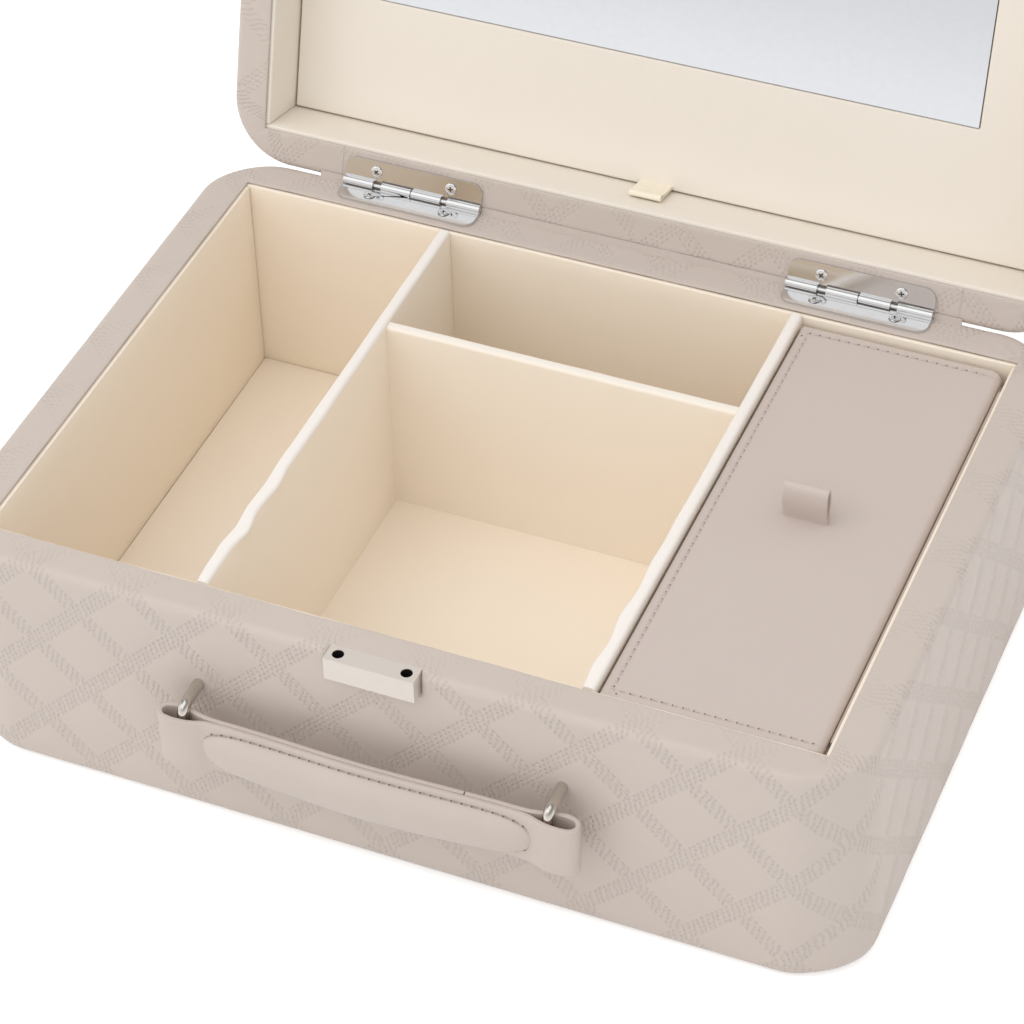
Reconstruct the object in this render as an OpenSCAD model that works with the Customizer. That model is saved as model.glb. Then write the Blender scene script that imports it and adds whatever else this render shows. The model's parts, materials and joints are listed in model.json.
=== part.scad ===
// Padded cosmetics case that opens like a small suitcase: a rounded board box in quilted leatherette,
// three lined compartments, a lift-out box with a flap lid, a mirror panel in the lid and a strap handle.
// Right is +X, back is +Y and up is +Z. The origin is the middle of the face that the case stands on.
// The lid is drawn open, at the angle where its hinges stop.

/* [Inside] */
// Width between the lining panels
inside_w = 280; // [240:1:330]
// Front to back distance between the lining panels
inside_d = 191.4; // [170:0.2:230]
// Depth of the compartments, floor to rim
inside_h = 79.4; // [70:0.2:110]
// Distance between the two long dividers, middle to middle
divider_gap = 129.5; // [110:0.5:140]
// Thickness of a divider
divider_t = 4; // [3:0.5:6]
// Front face of the short divider, measured from the middle of the case
cross_y = 41; // [10:1:60]
// How far the short divider stays below the long ones
cross_drop = 1.4; // [0:0.2:4]

/* [Walls] */
// Lining panel with its card
lining_t = 2; // [1.4:0.2:3]
// Board that the walls are made of
board_t = 9; // [7:0.5:10]
// Board that closes the bottom and the top
floor_board_t = 5; // [4:0.5:8]
// Foam and leatherette round the outside
cover_t = 3; // [2:0.5:4]
// Lining on the floor
floor_lining_t = 1.6; // [1:0.2:3]
// Plate that the case stands on
bottom_plate_t = 2; // [1.4:0.2:3]
// Outside radius of the four upright corners
corner_r = 28; // [26:1:32]
// Rounding of the outer edge of the rim
rim_r = 2.6; // [2.4:0.2:6]
// Rounding of the outer edges at the bottom and the top
edge_r = 6; // [4:0.5:8]

/* [Lid] */
// Opening angle, from closed
lid_angle = 105.5; // [95:0.5:110]
// From the lid rim to the face of the mirror panel
panel_depth = 21.8; // [18:0.2:30]
// Space behind the mirror panel
pocket_depth = 9.6; // [6:0.2:20]
// Thickness of the mirror panel
panel_t = 3.6; // [3:0.2:6]
// Width of the mirror
mirror_w = 219; // [160:1:225]
// Height of the mirror
mirror_h = 98; // [80:1:130]
// Thickness of the mirror glass
mirror_t = 2; // [1.5:0.1:2.4]
// Width of the pull tab on the mirror panel
tab_w = 14.5; // [10:0.5:20]
// Length of that pull tab
tab_l = 15.3; // [10:0.1:17]

/* [Hinges] */
// Length of a hinge
hinge_l = 52; // [44:1:60]
// Middle of each hinge, from the middle of the case
hinge_x = 82.5; // [70:0.5:90]
// Distance from the hinge pin to the edge of a leaf
leaf_w = 9; // [8:0.5:10]
// Thickness of a leaf
leaf_t = 1.1; // [0.8:0.1:1.2]
// Radius of the rolled knuckles
knuckle_r = 1.75; // [1.6:0.05:2]
// Radius of the hinge pin
pin_r = 0.8; // [0.6:0.05:0.9]
// Distance between the two screws of a leaf
screw_gap = 28.4; // [24:0.2:32]
// Distance from the hinge pin to the screws
screw_off = 5; // [4.6:0.1:5.6]

/* [Lift-out box] */
// Gap between the box and the divider beside it
box_gap_left = 2.75; // [2.2:0.05:12]
// Gap between the box and the right lining, for the fold of its lid
box_gap_right = 1.7; // [1.3:0.1:4]
// Gap in front of the box and behind it
box_gap_ends = 2.2; // [1:0.1:16]
// Thickness of its walls and floor
box_wall = 2.4; // [2:0.2:3]
// Thickness of the lining in it
box_lining_t = 1; // [0.6:0.1:1.4]
// Thickness of its lid
flap_t = 5; // [4:0.2:7]
// How far the top of its lid lies below the rim
flap_drop = 2.5; // [1.5:0.1:4]
// Width of the pull loop on its lid
loop_w = 15; // [10:0.5:20]
// Height of that pull loop
loop_h = 14; // [10:0.5:18]

/* [Handle] */
// Middle of each wire staple, from the middle of the case
staple_x = 61.6; // [50:0.2:70]
// Diameter of the staple wire
wire_d = 3.5; // [3:0.1:4]
// How far the upright of a staple stands off the front, to its middle
staple_reach = 12.1; // [11:0.1:16]
// Height of the middle of the handle above the ground
handle_z = 45.5; // [40:0.5:60]
// Height of the strap
strap_h = 20; // [16:0.5:24]
// Thickness of the strap leather
strap_t = 1.6; // [1.2:0.1:2]
// How far the loops at the ends of the strap reach past the staples
loop_reach = 9.4; // [7:0.2:16]
// How far the padded grip ends short of the staples
pad_short = 5.6; // [4.6:0.2:20]
// Height of the padded grip
pad_h = 15; // [12:0.5:16]
// How far the padded grip stands out from the strap
pad_bulge = 6; // [3:0.2:7]

/* [Lock] */
// Width of the lock block
lock_w = 30.2; // [24:0.2:36]
// Height of the lock block
lock_h = 8.5; // [7:0.1:12]
// How far the lock block stands out of the front
lock_out = 3.9; // [3:0.1:6]
// Distance between the two lock pins
lock_gap = 22.8; // [16:0.2:24]
// Radius of the holes for the pins
lock_hole_r = 1.9; // [1.7:0.05:2]
// Length of the pins
lock_pin_l = 5.5; // [4:0.1:6]

/* [Hidden] */
$fn = 48;
eps = 0.01;

// colours, as the finished object shows them
taupe = "#d0c5bb";
rose_taupe = "#d2c5bd";
cream = "#f2e4cf";
pale = "#f4eee2";
board_brown = "#b89b74";
champagne = "#dcd2c4";
bright = "#cfd0d2";

// heights of the base
floor_z = bottom_plate_t + floor_board_t + floor_lining_t;
rim_z = floor_z + inside_h;
// the padded rim swells a little above the edge of the lining, and tucks in lower beside it
rim_swell = 0.3;
rim_tuck_r = 1.5;
crown_z = rim_z + rim_swell;

// outline of the case and of its boards
wall_t = lining_t + board_t + cover_t;
out_w = inside_w + 2 * wall_t;
out_d = inside_d + 2 * wall_t;
front_y = -out_d / 2;
board_front_y = front_y + cover_t;
boards_w = out_w - 2 * cover_t;
boards_d = out_d - 2 * cover_t;
board_r = corner_r - cover_t;
well_w = inside_w + 2 * lining_t;
well_d = inside_d + 2 * lining_t;
post_w = corner_r - wall_t + lining_t;
board_top_z = crown_z - cover_t;
// the cover stops just above the ground, so that the bottom plate carries the case
cover_lift = 0.4;
cover_foot_w = 14;

// the hinge pin lies above the rim by the height of a knuckle on the leather
axis_y = inside_d / 2 + 12.5;
axis_z = crown_z + knuckle_r;
hinge_rise = axis_z - rim_z;

// heights in the lid, from its rim outwards
lid_open_h = panel_depth + panel_t + pocket_depth;
pocket_lining_t = 1;
lid_h = lid_open_h + pocket_lining_t + floor_board_t + cover_t;

// ---------- shared shapes ----------

// A flat plate with rounded upright corners, standing on z = 0.
module rounded_plate(w, d, h, r) {
    linear_extrude(h) rounded_outline(w, d, r);
}

module rounded_outline(w, d, r) {
    square([w - 2 * r, d], center = true);
    square([w, d - 2 * r], center = true);
    for (sx = [-1, 1], sy = [-1, 1])
        translate([sx * (w / 2 - r), sy * (d / 2 - r)])
            circle(r);
}

// Carries a section round a rounded rectangle. In the section, x is the distance from the corner
// centres and y is the height.
module carried_round(w, d, r) {
    for (side = [0, 1])
        rotate([0, 0, 180 * side]) {
            translate([w / 2 - r, d / 2 - r, 0])
                rotate([90, 0, 0])
                    linear_extrude(d - 2 * r) children();
            rotate([0, 0, 90])
                translate([d / 2 - r, w / 2 - r, 0])
                    rotate([90, 0, 0])
                        linear_extrude(w - 2 * r) children();
            translate([w / 2 - r, d / 2 - r, 0])
                rotate_extrude(angle = 90) children();
            translate([-w / 2 + r, d / 2 - r, 0])
                rotate([0, 0, 90])
                    rotate_extrude(angle = 90) children();
        }
}

// A block of section from (x0, y0) to (x1, y1), its right corners rounded below by r_low and above by r_high.
module rounded_section(x0, x1, y0, y1, r_low, r_high) {
    translate([x0, y0 + r_low])
        square([x1 - x0, y1 - y0 - r_low - r_high]);
    translate([x0, y0])
        square([x1 - x0 - r_low, y1 - y0]);
    translate([x0, y0 + r_low])
        square([x1 - x0 - r_high, y1 - y0 - r_low]);
    translate([x1 - r_low, y0 + r_low])
        circle(r_low);
    translate([x1 - r_high, y1 - r_high])
        circle(r_high);
}

// The tuck of the leather beside the lining: a rounded inner edge of the rim.
module rim_tuck(x, y) {
    translate([x - eps, y - rim_tuck_r])
        difference() {
            square(rim_tuck_r + eps);
            translate([rim_tuck_r + eps, 0])
                circle(rim_tuck_r);
        }
}

// Puts a shape drawn on the closed lid, z = 0 at the lid rim, into place on the open lid.
module on_lid() {
    translate([0, axis_y, axis_z])
        rotate([-lid_angle, 0, 0])
            translate([0, -axis_y, hinge_rise])
                children();
}

// A bar of given length along X, with its section in y and z.
module along_x(l) {
    translate([-l / 2, 0, 0])
        rotate([90, 0, 90])
            linear_extrude(l) children();
}

// ---------- boards of a half: the same for the base and the lid ----------

module long_board(y_sign, z0, z1) {
    translate([-out_w / 2 + corner_r, y_sign > 0 ? well_d / 2 : -boards_d / 2, z0])
        cube([out_w - 2 * corner_r, board_t, z1 - z0]);
}

module side_board(x_sign, z0, z1) {
    translate([x_sign > 0 ? well_w / 2 : -boards_w / 2, -out_d / 2 + corner_r, z0])
        cube([board_t, out_d - 2 * corner_r, z1 - z0]);
}

// Four quarter-round posts, each hollowed for the square corner of the lining.
module corner_posts(z0, z1) {
    for (turn = [0, 1])
        rotate([0, 0, 180 * turn]) {
            translate([out_w / 2 - corner_r, out_d / 2 - corner_r, z0])
                corner_post(z1 - z0);
            translate([-out_w / 2 + corner_r, out_d / 2 - corner_r, z0])
                rotate([0, 0, 90])
                    corner_post(z1 - z0);
        }
}

module corner_post(h) {
    difference() {
        rotate_extrude(angle = 90)
            square([board_r, h]);
        translate([-1, -1, -1])
            cube([post_w + 1, post_w + 1, h + 2]);
    }
}

module closing_board(z0) {
    translate([-well_w / 2, -well_d / 2, z0])
        cube([well_w, well_d, floor_board_t]);
}

// ---------- base ----------

module base_board_front() {
    color(board_brown)
        difference() {
            long_board(-1, bottom_plate_t, board_top_z);
            staple_holes();
            washer_pockets();
            lock_screw_holes();
        }
}

module base_board_back() {
    color(board_brown)
        difference() {
            long_board(1, bottom_plate_t, board_top_z);
            hinge_screw_holes();
        }
}

module base_board_left() {
    color(board_brown) side_board(-1, bottom_plate_t, board_top_z);
}

module base_board_right() {
    color(board_brown) side_board(1, bottom_plate_t, board_top_z);
}

module base_board_bottom() {
    color(board_brown) closing_board(bottom_plate_t);
}

module base_corner_posts() {
    color(board_brown) corner_posts(bottom_plate_t, board_top_z);
}

// Foam-backed leatherette: over the rim, down the outside and under the bottom edge.
module base_cover() {
    color(taupe)
        difference() {
            carried_round(out_w, out_d, corner_r)
                difference() {
                    rounded_section(corner_r - cover_foot_w, corner_r, cover_lift, crown_z, edge_r, rim_r);
                    translate([0, bottom_plate_t])
                        square([board_r, board_top_z - bottom_plate_t]);
                    rim_tuck(post_w, crown_z);
                }
            translate([-well_w / 2, -well_d / 2, bottom_plate_t + eps])
                cube([well_w, well_d, crown_z]);
            staple_holes();
            lock_seat();
            hinge_screw_holes();
        }
}

module bottom_plate() {
    gap = 0.6;
    side = 2 * (cover_foot_w + gap);
    color(taupe)
        rounded_plate(out_w - side, out_d - side, bottom_plate_t, corner_r - cover_foot_w - gap);
}

module lining_front() {
    color(cream)
        translate([-well_w / 2, -well_d / 2, bottom_plate_t + floor_board_t])
            cube([well_w, lining_t, rim_z - bottom_plate_t - floor_board_t]);
}

module lining_back() {
    color(cream)
        translate([-well_w / 2, inside_d / 2, bottom_plate_t + floor_board_t])
            cube([well_w, lining_t, rim_z - bottom_plate_t - floor_board_t]);
}

module lining_left() {
    color(cream)
        translate([-well_w / 2, -inside_d / 2, bottom_plate_t + floor_board_t])
            cube([lining_t, inside_d, rim_z - bottom_plate_t - floor_board_t]);
}

module lining_right() {
    color(cream)
        translate([inside_w / 2, -inside_d / 2, bottom_plate_t + floor_board_t])
            cube([lining_t, inside_d, rim_z - bottom_plate_t - floor_board_t]);
}

module lining_floor() {
    color(cream)
        translate([-inside_w / 2, -inside_d / 2, bottom_plate_t + floor_board_t])
            cube([inside_w, inside_d, floor_lining_t]);
}

// An upright card with a rounded top edge, its section in x and height.
module divider_section(h) {
    translate([-divider_t / 2, 0])
        square([divider_t, h - divider_t / 2]);
    translate([0, h - divider_t / 2])
        circle(divider_t / 2);
}

module long_divider(x) {
    translate([x, inside_d / 2, floor_z])
        rotate([90, 0, 0])
            linear_extrude(inside_d) divider_section(inside_h);
}

module divider_left() {
    color(pale) long_divider(-divider_gap / 2);
}

module divider_right() {
    color(pale) long_divider(divider_gap / 2);
}

module divider_cross() {
    color(pale)
        translate([0, cross_y + divider_t / 2, floor_z])
            along_x(divider_gap - divider_t) divider_section(inside_h - cross_drop);
}

// ---------- lock ----------

// The block stands a little above the rim, with its back against the front board.
lock_top_z = crown_z + 0.1;
lock_back_y = board_front_y;
lock_depth = cover_t + lock_out;
lock_hole_y = lock_back_y - lock_depth / 2;
lock_hole_depth = 6.6;
magnet_t = 1.2;
lock_screw_r = 1.2;
lock_screw_gap = 10;
lock_screw_z = lock_top_z - lock_h + 2 * lock_screw_r;
screw_clearance = 0.05;

module lock_body(extra) {
    translate([-lock_w / 2 - extra, lock_back_y - lock_depth, lock_top_z - lock_h - extra])
        cube([lock_w + 2 * extra, lock_depth, lock_h + 2 * extra]);
}

module lock_seat() {
    lock_body(0);
}

module lock_block() {
    bevel = 0.6;
    color(champagne)
        difference() {
            lock_body(0);
            for (sx = [-1, 1])
                translate([sx * lock_gap / 2, lock_hole_y, lock_top_z - lock_hole_depth])
                    cylinder(r = lock_hole_r, h = lock_hole_depth + 1);
            translate([-lock_w / 2 - 1, lock_back_y - lock_depth, lock_top_z])
                rotate([45, 0, 0])
                    cube([lock_w + 2, 2 * bevel, bevel], center = false);
            lock_screw_holes();
        }
}

module lock_magnets() {
    color(bright)
        for (sx = [-1, 1])
            translate([sx * lock_gap / 2, lock_hole_y, lock_top_z - lock_hole_depth])
                cylinder(r = lock_hole_r - screw_clearance, h = magnet_t);
}

module lock_screw_shape(extra) {
    head_t = 1.2;
    for (sx = [-1, 1])
        translate([sx * lock_screw_gap / 2, -well_d / 2, lock_screw_z])
            rotate([90, 0, 0]) {
                translate([0, 0, -extra])
                    cylinder(r = lock_screw_r + extra, h = board_t + 4 + 2 * extra);
                translate([0, 0, -extra])
                    cylinder(r = 2 * lock_screw_r + extra, h = head_t + 2 * extra);
            }
}

module lock_screw_holes() {
    lock_screw_shape(screw_clearance);
}

module lock_screws() {
    color(bright) lock_screw_shape(0);
}

// ---------- staples of the handle ----------

staple_y = front_y - staple_reach;
staple_play = 0.4;
leg_z = strap_h / 2 + staple_play + wire_d / 2;
washer_r = 4.5;
washer_t = 1;
// each leg ends flush in the pocket of its washer
leg_end_y = -well_d / 2 - 0.2;
bend_r = 3.6;

module staple(x) {
    leg_l = leg_end_y - staple_y - bend_r;
    color(bright)
        translate([x, staple_y, handle_z]) {
            for (side = [0, 1])
                mirror([0, 0, side]) {
                    translate([0, bend_r, leg_z])
                        rotate([-90, 0, 0])
                            cylinder(d = wire_d, h = leg_l);
                    translate([0, bend_r, leg_z - bend_r])
                        rotate([90, 0, -90])
                            rotate([0, 0, 90])
                                rotate_extrude(angle = -90)
                                    translate([bend_r, 0])
                                        circle(d = wire_d);
                }
            translate([0, 0, -leg_z + bend_r])
                cylinder(d = wire_d, h = 2 * (leg_z - bend_r));
        }
}

module staple_left() {
    staple(-staple_x);
}

module staple_right() {
    staple(staple_x);
}

module at_staple_legs() {
    for (sx = [-1, 1], sz = [-1, 1])
        translate([sx * staple_x, -well_d / 2, handle_z + sz * leg_z])
            rotate([90, 0, 0])
                children();
}

module staple_holes() {
    at_staple_legs()
        cylinder(d = wire_d + 2 * screw_clearance, h = board_t + cover_t + 1);
}

module washer_pockets() {
    at_staple_legs()
        translate([0, 0, -1])
            cylinder(r = washer_r + 0.2, h = washer_t + 1.2);
}

// Push-on washers in pockets of the board, behind the lining.
module staple_washers() {
    color(bright)
        at_staple_legs()
            translate([0, 0, 0.2])
                difference() {
                    cylinder(r = washer_r, h = washer_t);
                    translate([0, 0, -1])
                        cylinder(d = wire_d + 2 * screw_clearance, h = washer_t + 2);
                }
}

// ---------- hinges ----------

// ends of the four knuckles, from the left end of the hinge; 1 and 3 belong to the lid
knuckle_ends = [[0, 0.217], [0.28, 0.494], [0.502, 0.715], [0.765, 1]];
// between these the pin shows
bare_stretches = [[knuckle_ends[0][1], knuckle_ends[1][0]], [knuckle_ends[2][1], knuckle_ends[3][0]]];
knuckle_play = 0.05;
notch_gap = 0.4;
leaf_corner_r = 4;
leaf_screw_r = 1;
screw_head_r = 2.1;
screw_head_h = 0.4;

// One leaf of a hinge in the closed position of the base leaf: pin along X through the origin,
// leaf towards -Y with its under side one knuckle radius below the pin.
module leaf(own, other, bore_r) {
    difference() {
        union() {
            translate([-hinge_l / 2, 0, -knuckle_r])
                linear_extrude(leaf_t) {
                    translate([0, -leaf_w + leaf_corner_r])
                        square([hinge_l, leaf_w - leaf_corner_r]);
                    translate([leaf_corner_r, -leaf_w])
                        square([hinge_l - 2 * leaf_corner_r, leaf_w]);
                    for (x = [leaf_corner_r, hinge_l - leaf_corner_r])
                        translate([x, -leaf_w + leaf_corner_r])
                            circle(leaf_corner_r);
                }
            for (k = own)
                knuckle(k, knuckle_r, 0);
        }
        for (k = other)
            translate([hinge_l * (k[0] - 0.5) - notch_gap, -knuckle_r - notch_gap, -knuckle_r - 1])
                cube([hinge_l * (k[1] - k[0]) + 2 * notch_gap, 2 * knuckle_r, 2 * knuckle_r + 2]);
        for (gap = bare_stretches)
            translate([hinge_l * (gap[0] - 0.5), -knuckle_r + 0.2, -knuckle_r - 1])
                cube([hinge_l * (gap[1] - gap[0]), 2 * knuckle_r, 2 * knuckle_r + 2]);
        translate([-hinge_l / 2 - 1, 0, 0])
            rotate([0, 90, 0])
                cylinder(r = bore_r, h = hinge_l + 2);
        for (sx = [-1, 1])
            translate([sx * screw_gap / 2, -screw_off, -knuckle_r - 1])
                cylinder(r = leaf_screw_r + screw_clearance, h = leaf_t + 2);
    }
}

module knuckle(k, r, extra) {
    translate([hinge_l * (k[0] - 0.5) - extra, 0, 0])
        rotate([0, 90, 0])
            cylinder(r = r, h = hinge_l * (k[1] - k[0]) + 2 * extra);
}

module base_leaf(x) {
    color(bright)
        translate([x, axis_y, axis_z])
            leaf([knuckle_ends[1], knuckle_ends[3]], [knuckle_ends[0], knuckle_ends[2]], pin_r + 0.02);
}

// The lid leaf is the base leaf's shape upside down on the closed lid.
module lid_leaf(x) {
    color(bright)
        translate([x, axis_y, axis_z])
            rotate([-lid_angle, 0, 0])
                mirror([0, 0, 1])
                    leaf([knuckle_ends[0], knuckle_ends[2]], [knuckle_ends[1], knuckle_ends[3]],
                         pin_r + knuckle_play);
}

module hinge_left_base_leaf() {
    base_leaf(-hinge_x);
}

module hinge_right_base_leaf() {
    base_leaf(hinge_x);
}

module hinge_left_lid_leaf() {
    lid_leaf(-hinge_x);
}

module hinge_right_lid_leaf() {
    lid_leaf(hinge_x);
}

// Pins with a small peened head at both ends.
module hinge_pins() {
    head_h = 0.4;
    head_gap = 0.1;
    color(bright)
        for (sx = [-1, 1])
            translate([sx * hinge_x - hinge_l / 2, axis_y, axis_z])
                rotate([0, 90, 0]) {
                    translate([0, 0, -head_gap - head_h])
                        cylinder(r = pin_r, h = hinge_l + 2 * head_gap + 2 * head_h);
                    for (end = [-head_gap - head_h, hinge_l + head_gap])
                        translate([0, 0, end])
                            cylinder(r = pin_r + 0.5, h = head_h);
                }
}

// The screws of one half: heads on the leaf, shanks into the board. z = 0 is the under side of the leaf.
module leaf_screws(extra) {
    shank_l = 9;
    for (hx = [-1, 1], sx = [-1, 1])
        translate([hx * hinge_x + sx * screw_gap / 2, axis_y - screw_off, 0]) {
            translate([0, 0, -shank_l - extra])
                cylinder(r = leaf_screw_r + extra, h = shank_l + leaf_t + screw_head_h);
            if (extra == 0)
                translate([0, 0, leaf_t])
                    cylinder(r = screw_head_r, h = screw_head_h);
        }
}

module hinge_screw_holes() {
    translate([0, 0, crown_z])
        leaf_screws(screw_clearance);
}

module base_hinge_screws() {
    color(bright)
        translate([0, 0, crown_z])
            leaf_screws(0);
}

// A leatherette strip behind the pins, glued in the rounding of the base rim and bent up to the lid.
module hinge_strip() {
    strip_t = 0.6;
    strip_past_hinge = 9.8;
    strip_w = 2 * (hinge_x + hinge_l / 2 + strip_past_hinge);
    back = 0.5;
    lean = lid_angle - 90;
    rise = 2.4;
    base_y = out_d / 2 - rim_r;
    color(taupe)
        difference() {
            along_x(strip_w)
                polygon([
                    [base_y + 0.6, crown_z],
                    [base_y + 0.6, crown_z - strip_t],
                    [axis_y + back + strip_t, crown_z - strip_t],
                    [axis_y + back + strip_t + rise * tan(lean), crown_z - strip_t + rise],
                    [axis_y + back + rise * tan(lean), crown_z - strip_t + rise],
                    [axis_y + back, crown_z]
                ]);
            along_x(strip_w + 2)
                translate([base_y, crown_z - rim_r])
                    circle(rim_r);
            for (sx = [-1, 1])
                translate([sx * hinge_x, axis_y, axis_z])
                    rotate([0, 90, 0])
                        cylinder(r = knuckle_r + 0.3, h = hinge_l + 3, center = true);
        }
}

// ---------- handle ----------

// In plan, with the staple's upright at the origin and the outer end of the loop towards +X.
loop_half = 3.8;
loop_tip = loop_reach - loop_half;
neck_x = 0.2 - pad_short;
grip_half = staple_x - pad_short - 10;
pad_l = 2 * (staple_x - pad_short);

module loop_plan() {
    difference() {
        union() {
            translate([loop_tip, 0])
                circle(loop_half);
            polygon([
                [loop_tip, -loop_half], [loop_tip, loop_half],
                [wire_d / 2, wire_d / 2 + strap_t + 0.2], [neck_x, strap_t + 0.05],
                [grip_half - staple_x, strap_t + 0.05], [grip_half - staple_x, -strap_t - 0.05],
                [neck_x, -strap_t - 0.05], [wire_d / 2, -wire_d / 2 - strap_t - 0.2]
            ]);
        }
        translate([loop_tip, 0])
            circle(loop_half - strap_t);
        polygon([
            [loop_tip, -loop_half + strap_t], [loop_tip, loop_half - strap_t],
            [wire_d / 2, wire_d / 2 + 0.2], [-wire_d / 2, wire_d / 2 + 0.1], [neck_x, 0.05],
            [neck_x, -0.05], [-wire_d / 2, -wire_d / 2 - 0.1], [wire_d / 2, -wire_d / 2 - 0.2]
        ]);
        circle(wire_d / 2 + 0.1);
    }
}

module strap_loop(side) {
    color(taupe)
        mirror([side < 0 ? 1 : 0, 0, 0])
            translate([staple_x, staple_y, handle_z - strap_h / 2])
                linear_extrude(strap_h) loop_plan();
}

module strap_loop_left() {
    strap_loop(-1);
}

module strap_loop_right() {
    strap_loop(1);
}

// Front and back layer of the strap between the two loops.
module handle_strap() {
    color(taupe)
        translate([-grip_half, staple_y - strap_t - 0.05, handle_z - strap_h / 2])
            cube([2 * grip_half, 2 * strap_t + 0.1, strap_h]);
}

// A lens-shaped pad on the front of the strap: its outline narrows to blunt ends and its face swells
// from the seam. Points run along it from left to right and over it from the bottom to the top.
pad_steps = 36;
pad_rows = 12;

function pad_half_h(u) = pad_h / 2 * pow(1 - pow(abs(u), 10), 0.45);

function pad_swell(u, v) = pad_bulge * pow(1 - pow(abs(u), 5), 0.7) * pow(max(0, 1 - pow(abs(v), 2.6)), 0.55);

function pad_point(i, j) =
    let(u = 0.995 * (2 * i / pad_steps - 1), v = 2 * j / pad_rows - 1)
    [u * pad_l / 2, -pad_swell(u, v), v * pad_half_h(u)];

module handle_pad() {
    cols = pad_steps + 1;
    rows = pad_rows + 1;
    front = [for (i = [0:pad_steps], j = [0:pad_rows]) pad_point(i, j)];
    back = [for (i = [0:pad_steps], j = [0:pad_rows]) let(p = pad_point(i, j)) [p[0], 0.25, p[2]]];
    n = cols * rows;
    front_faces = [for (i = [0:pad_steps - 1], j = [0:pad_rows - 1])
        let(a = i * rows + j) each [[a, a + 1, a + rows + 1], [a, a + rows + 1, a + rows]]];
    back_faces = [for (i = [0:pad_steps - 1], j = [0:pad_rows - 1])
        let(a = n + i * rows + j) each [[a, a + rows + 1, a + 1], [a, a + rows, a + rows + 1]]];
    edge_low = [for (i = [0:pad_steps - 1])
        let(a = i * rows, b = a + rows) each [[a, b, n + b], [a, n + b, n + a]]];
    edge_high = [for (i = [0:pad_steps - 1])
        let(a = i * rows + pad_rows, b = a + rows) each [[a, n + b, b], [a, n + a, n + b]]];
    edge_left = [for (j = [0:pad_rows - 1]) let(a = j) each [[a, n + a + 1, a + 1], [a, n + a, n + a + 1]]];
    edge_right = [for (j = [0:pad_rows - 1])
        let(a = pad_steps * rows + j) each [[a, a + 1, n + a + 1], [a, n + a + 1, n + a]]];
    color(taupe)
        translate([0, staple_y - strap_t - 0.3, handle_z])
            polyhedron(concat(front, back),
                       concat(front_faces, back_faces, edge_low, edge_high, edge_left, edge_right));
}

// ---------- lift-out box ----------

box_x0 = (divider_gap + divider_t) / 2 + box_gap_left;
box_x1 = inside_w / 2 - box_gap_right;
box_w = box_x1 - box_x0;
box_d = inside_d - 2 * box_gap_ends;
box_mid_x = (box_x0 + box_x1) / 2;
flap_top_z = rim_z - flap_drop;
flap_z = flap_top_z - flap_t;
// the rounded edge of the flap turns about its own middle
flap_axis_x = box_x1 - 0.3 - flap_t / 2;
flap_axis_z = flap_z + flap_t / 2;
box_corner_r = 3;
flap_corner_r = 6;

module box_outline(shrink) {
    translate([box_mid_x, 0])
        rounded_outline(box_w - 2 * shrink, box_d - 2 * shrink, box_corner_r - shrink / 2);
}

module box_shell() {
    color(rose_taupe)
        difference() {
            translate([0, 0, floor_z])
                linear_extrude(flap_z - floor_z) box_outline(0);
            translate([0, 0, floor_z + box_wall])
                linear_extrude(inside_h) box_outline(box_wall);
            translate([box_x1 - box_wall - 1, -inside_d / 2, flap_z - 0.3])
                cube([box_wall + 2, inside_d, 1]);
        }
}

module box_lining() {
    color(cream)
        difference() {
            translate([0, 0, floor_z + box_wall])
                linear_extrude(flap_z - floor_z - box_wall - 1.5) box_outline(box_wall);
            translate([0, 0, floor_z + box_wall + box_lining_t])
                linear_extrude(inside_h) box_outline(box_wall + box_lining_t);
        }
}

// The leather that carries the flap: it runs down the right side of the box.
module box_fold() {
    fold_t = 0.8;
    fold_l = 22;
    fold_inset = flap_corner_r + 1;
    color(rose_taupe)
        translate([box_x1, -box_d / 2 + fold_inset, flap_z - fold_l])
            cube([fold_t, box_d - 2 * fold_inset, fold_l + flap_t / 2]);
}

module flap_board() {
    x0 = box_x0;
    x1 = flap_axis_x;
    color(rose_taupe)
        intersection() {
            translate([0, box_d / 2, 0])
                rotate([90, 0, 0])
                    linear_extrude(box_d) {
                        translate([x0, flap_z])
                            square([x1 - x0, flap_t - 1]);
                        translate([x0 + 1, flap_z])
                            square([x1 - x0 - 1, flap_t]);
                        translate([x0 + 1, flap_top_z - 1])
                            circle(1);
                        translate([x1, flap_axis_z])
                            circle(flap_t / 2);
                    }
            translate([0, 0, flap_z - 1])
                linear_extrude(flap_t + 2) {
                    translate([x0, -box_d / 2])
                        square([x1 + flap_t / 2 - x0 - flap_corner_r, box_d]);
                    translate([x0, -box_d / 2 + flap_corner_r])
                        square([x1 + flap_t / 2 - x0, box_d - 2 * flap_corner_r]);
                    for (sy = [-1, 1])
                        translate([x1 + flap_t / 2 - flap_corner_r, sy * (box_d / 2 - flap_corner_r)])
                            circle(flap_corner_r);
                }
        }
}

// Lining card under the flap. It drops inside the box and keeps the flap in line.
module flap_liner() {
    play = 0.6;
    inset = box_wall + box_lining_t + play;
    x0 = box_x0 + inset;
    x1 = flap_axis_x - flap_t / 2;
    color(cream)
        translate([x0, -box_d / 2 + inset, flap_z - 1])
            cube([x1 - x0, box_d - 2 * inset, 1]);
}

// A strap end folded to a flat loop, sewn into a slit of the flap, near the middle of its flat part.
flap_loop_x = (box_x0 + flap_axis_x) / 2 - 0.5;
flap_loop_y = 2;
flap_loop_t = 1.2;

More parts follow.
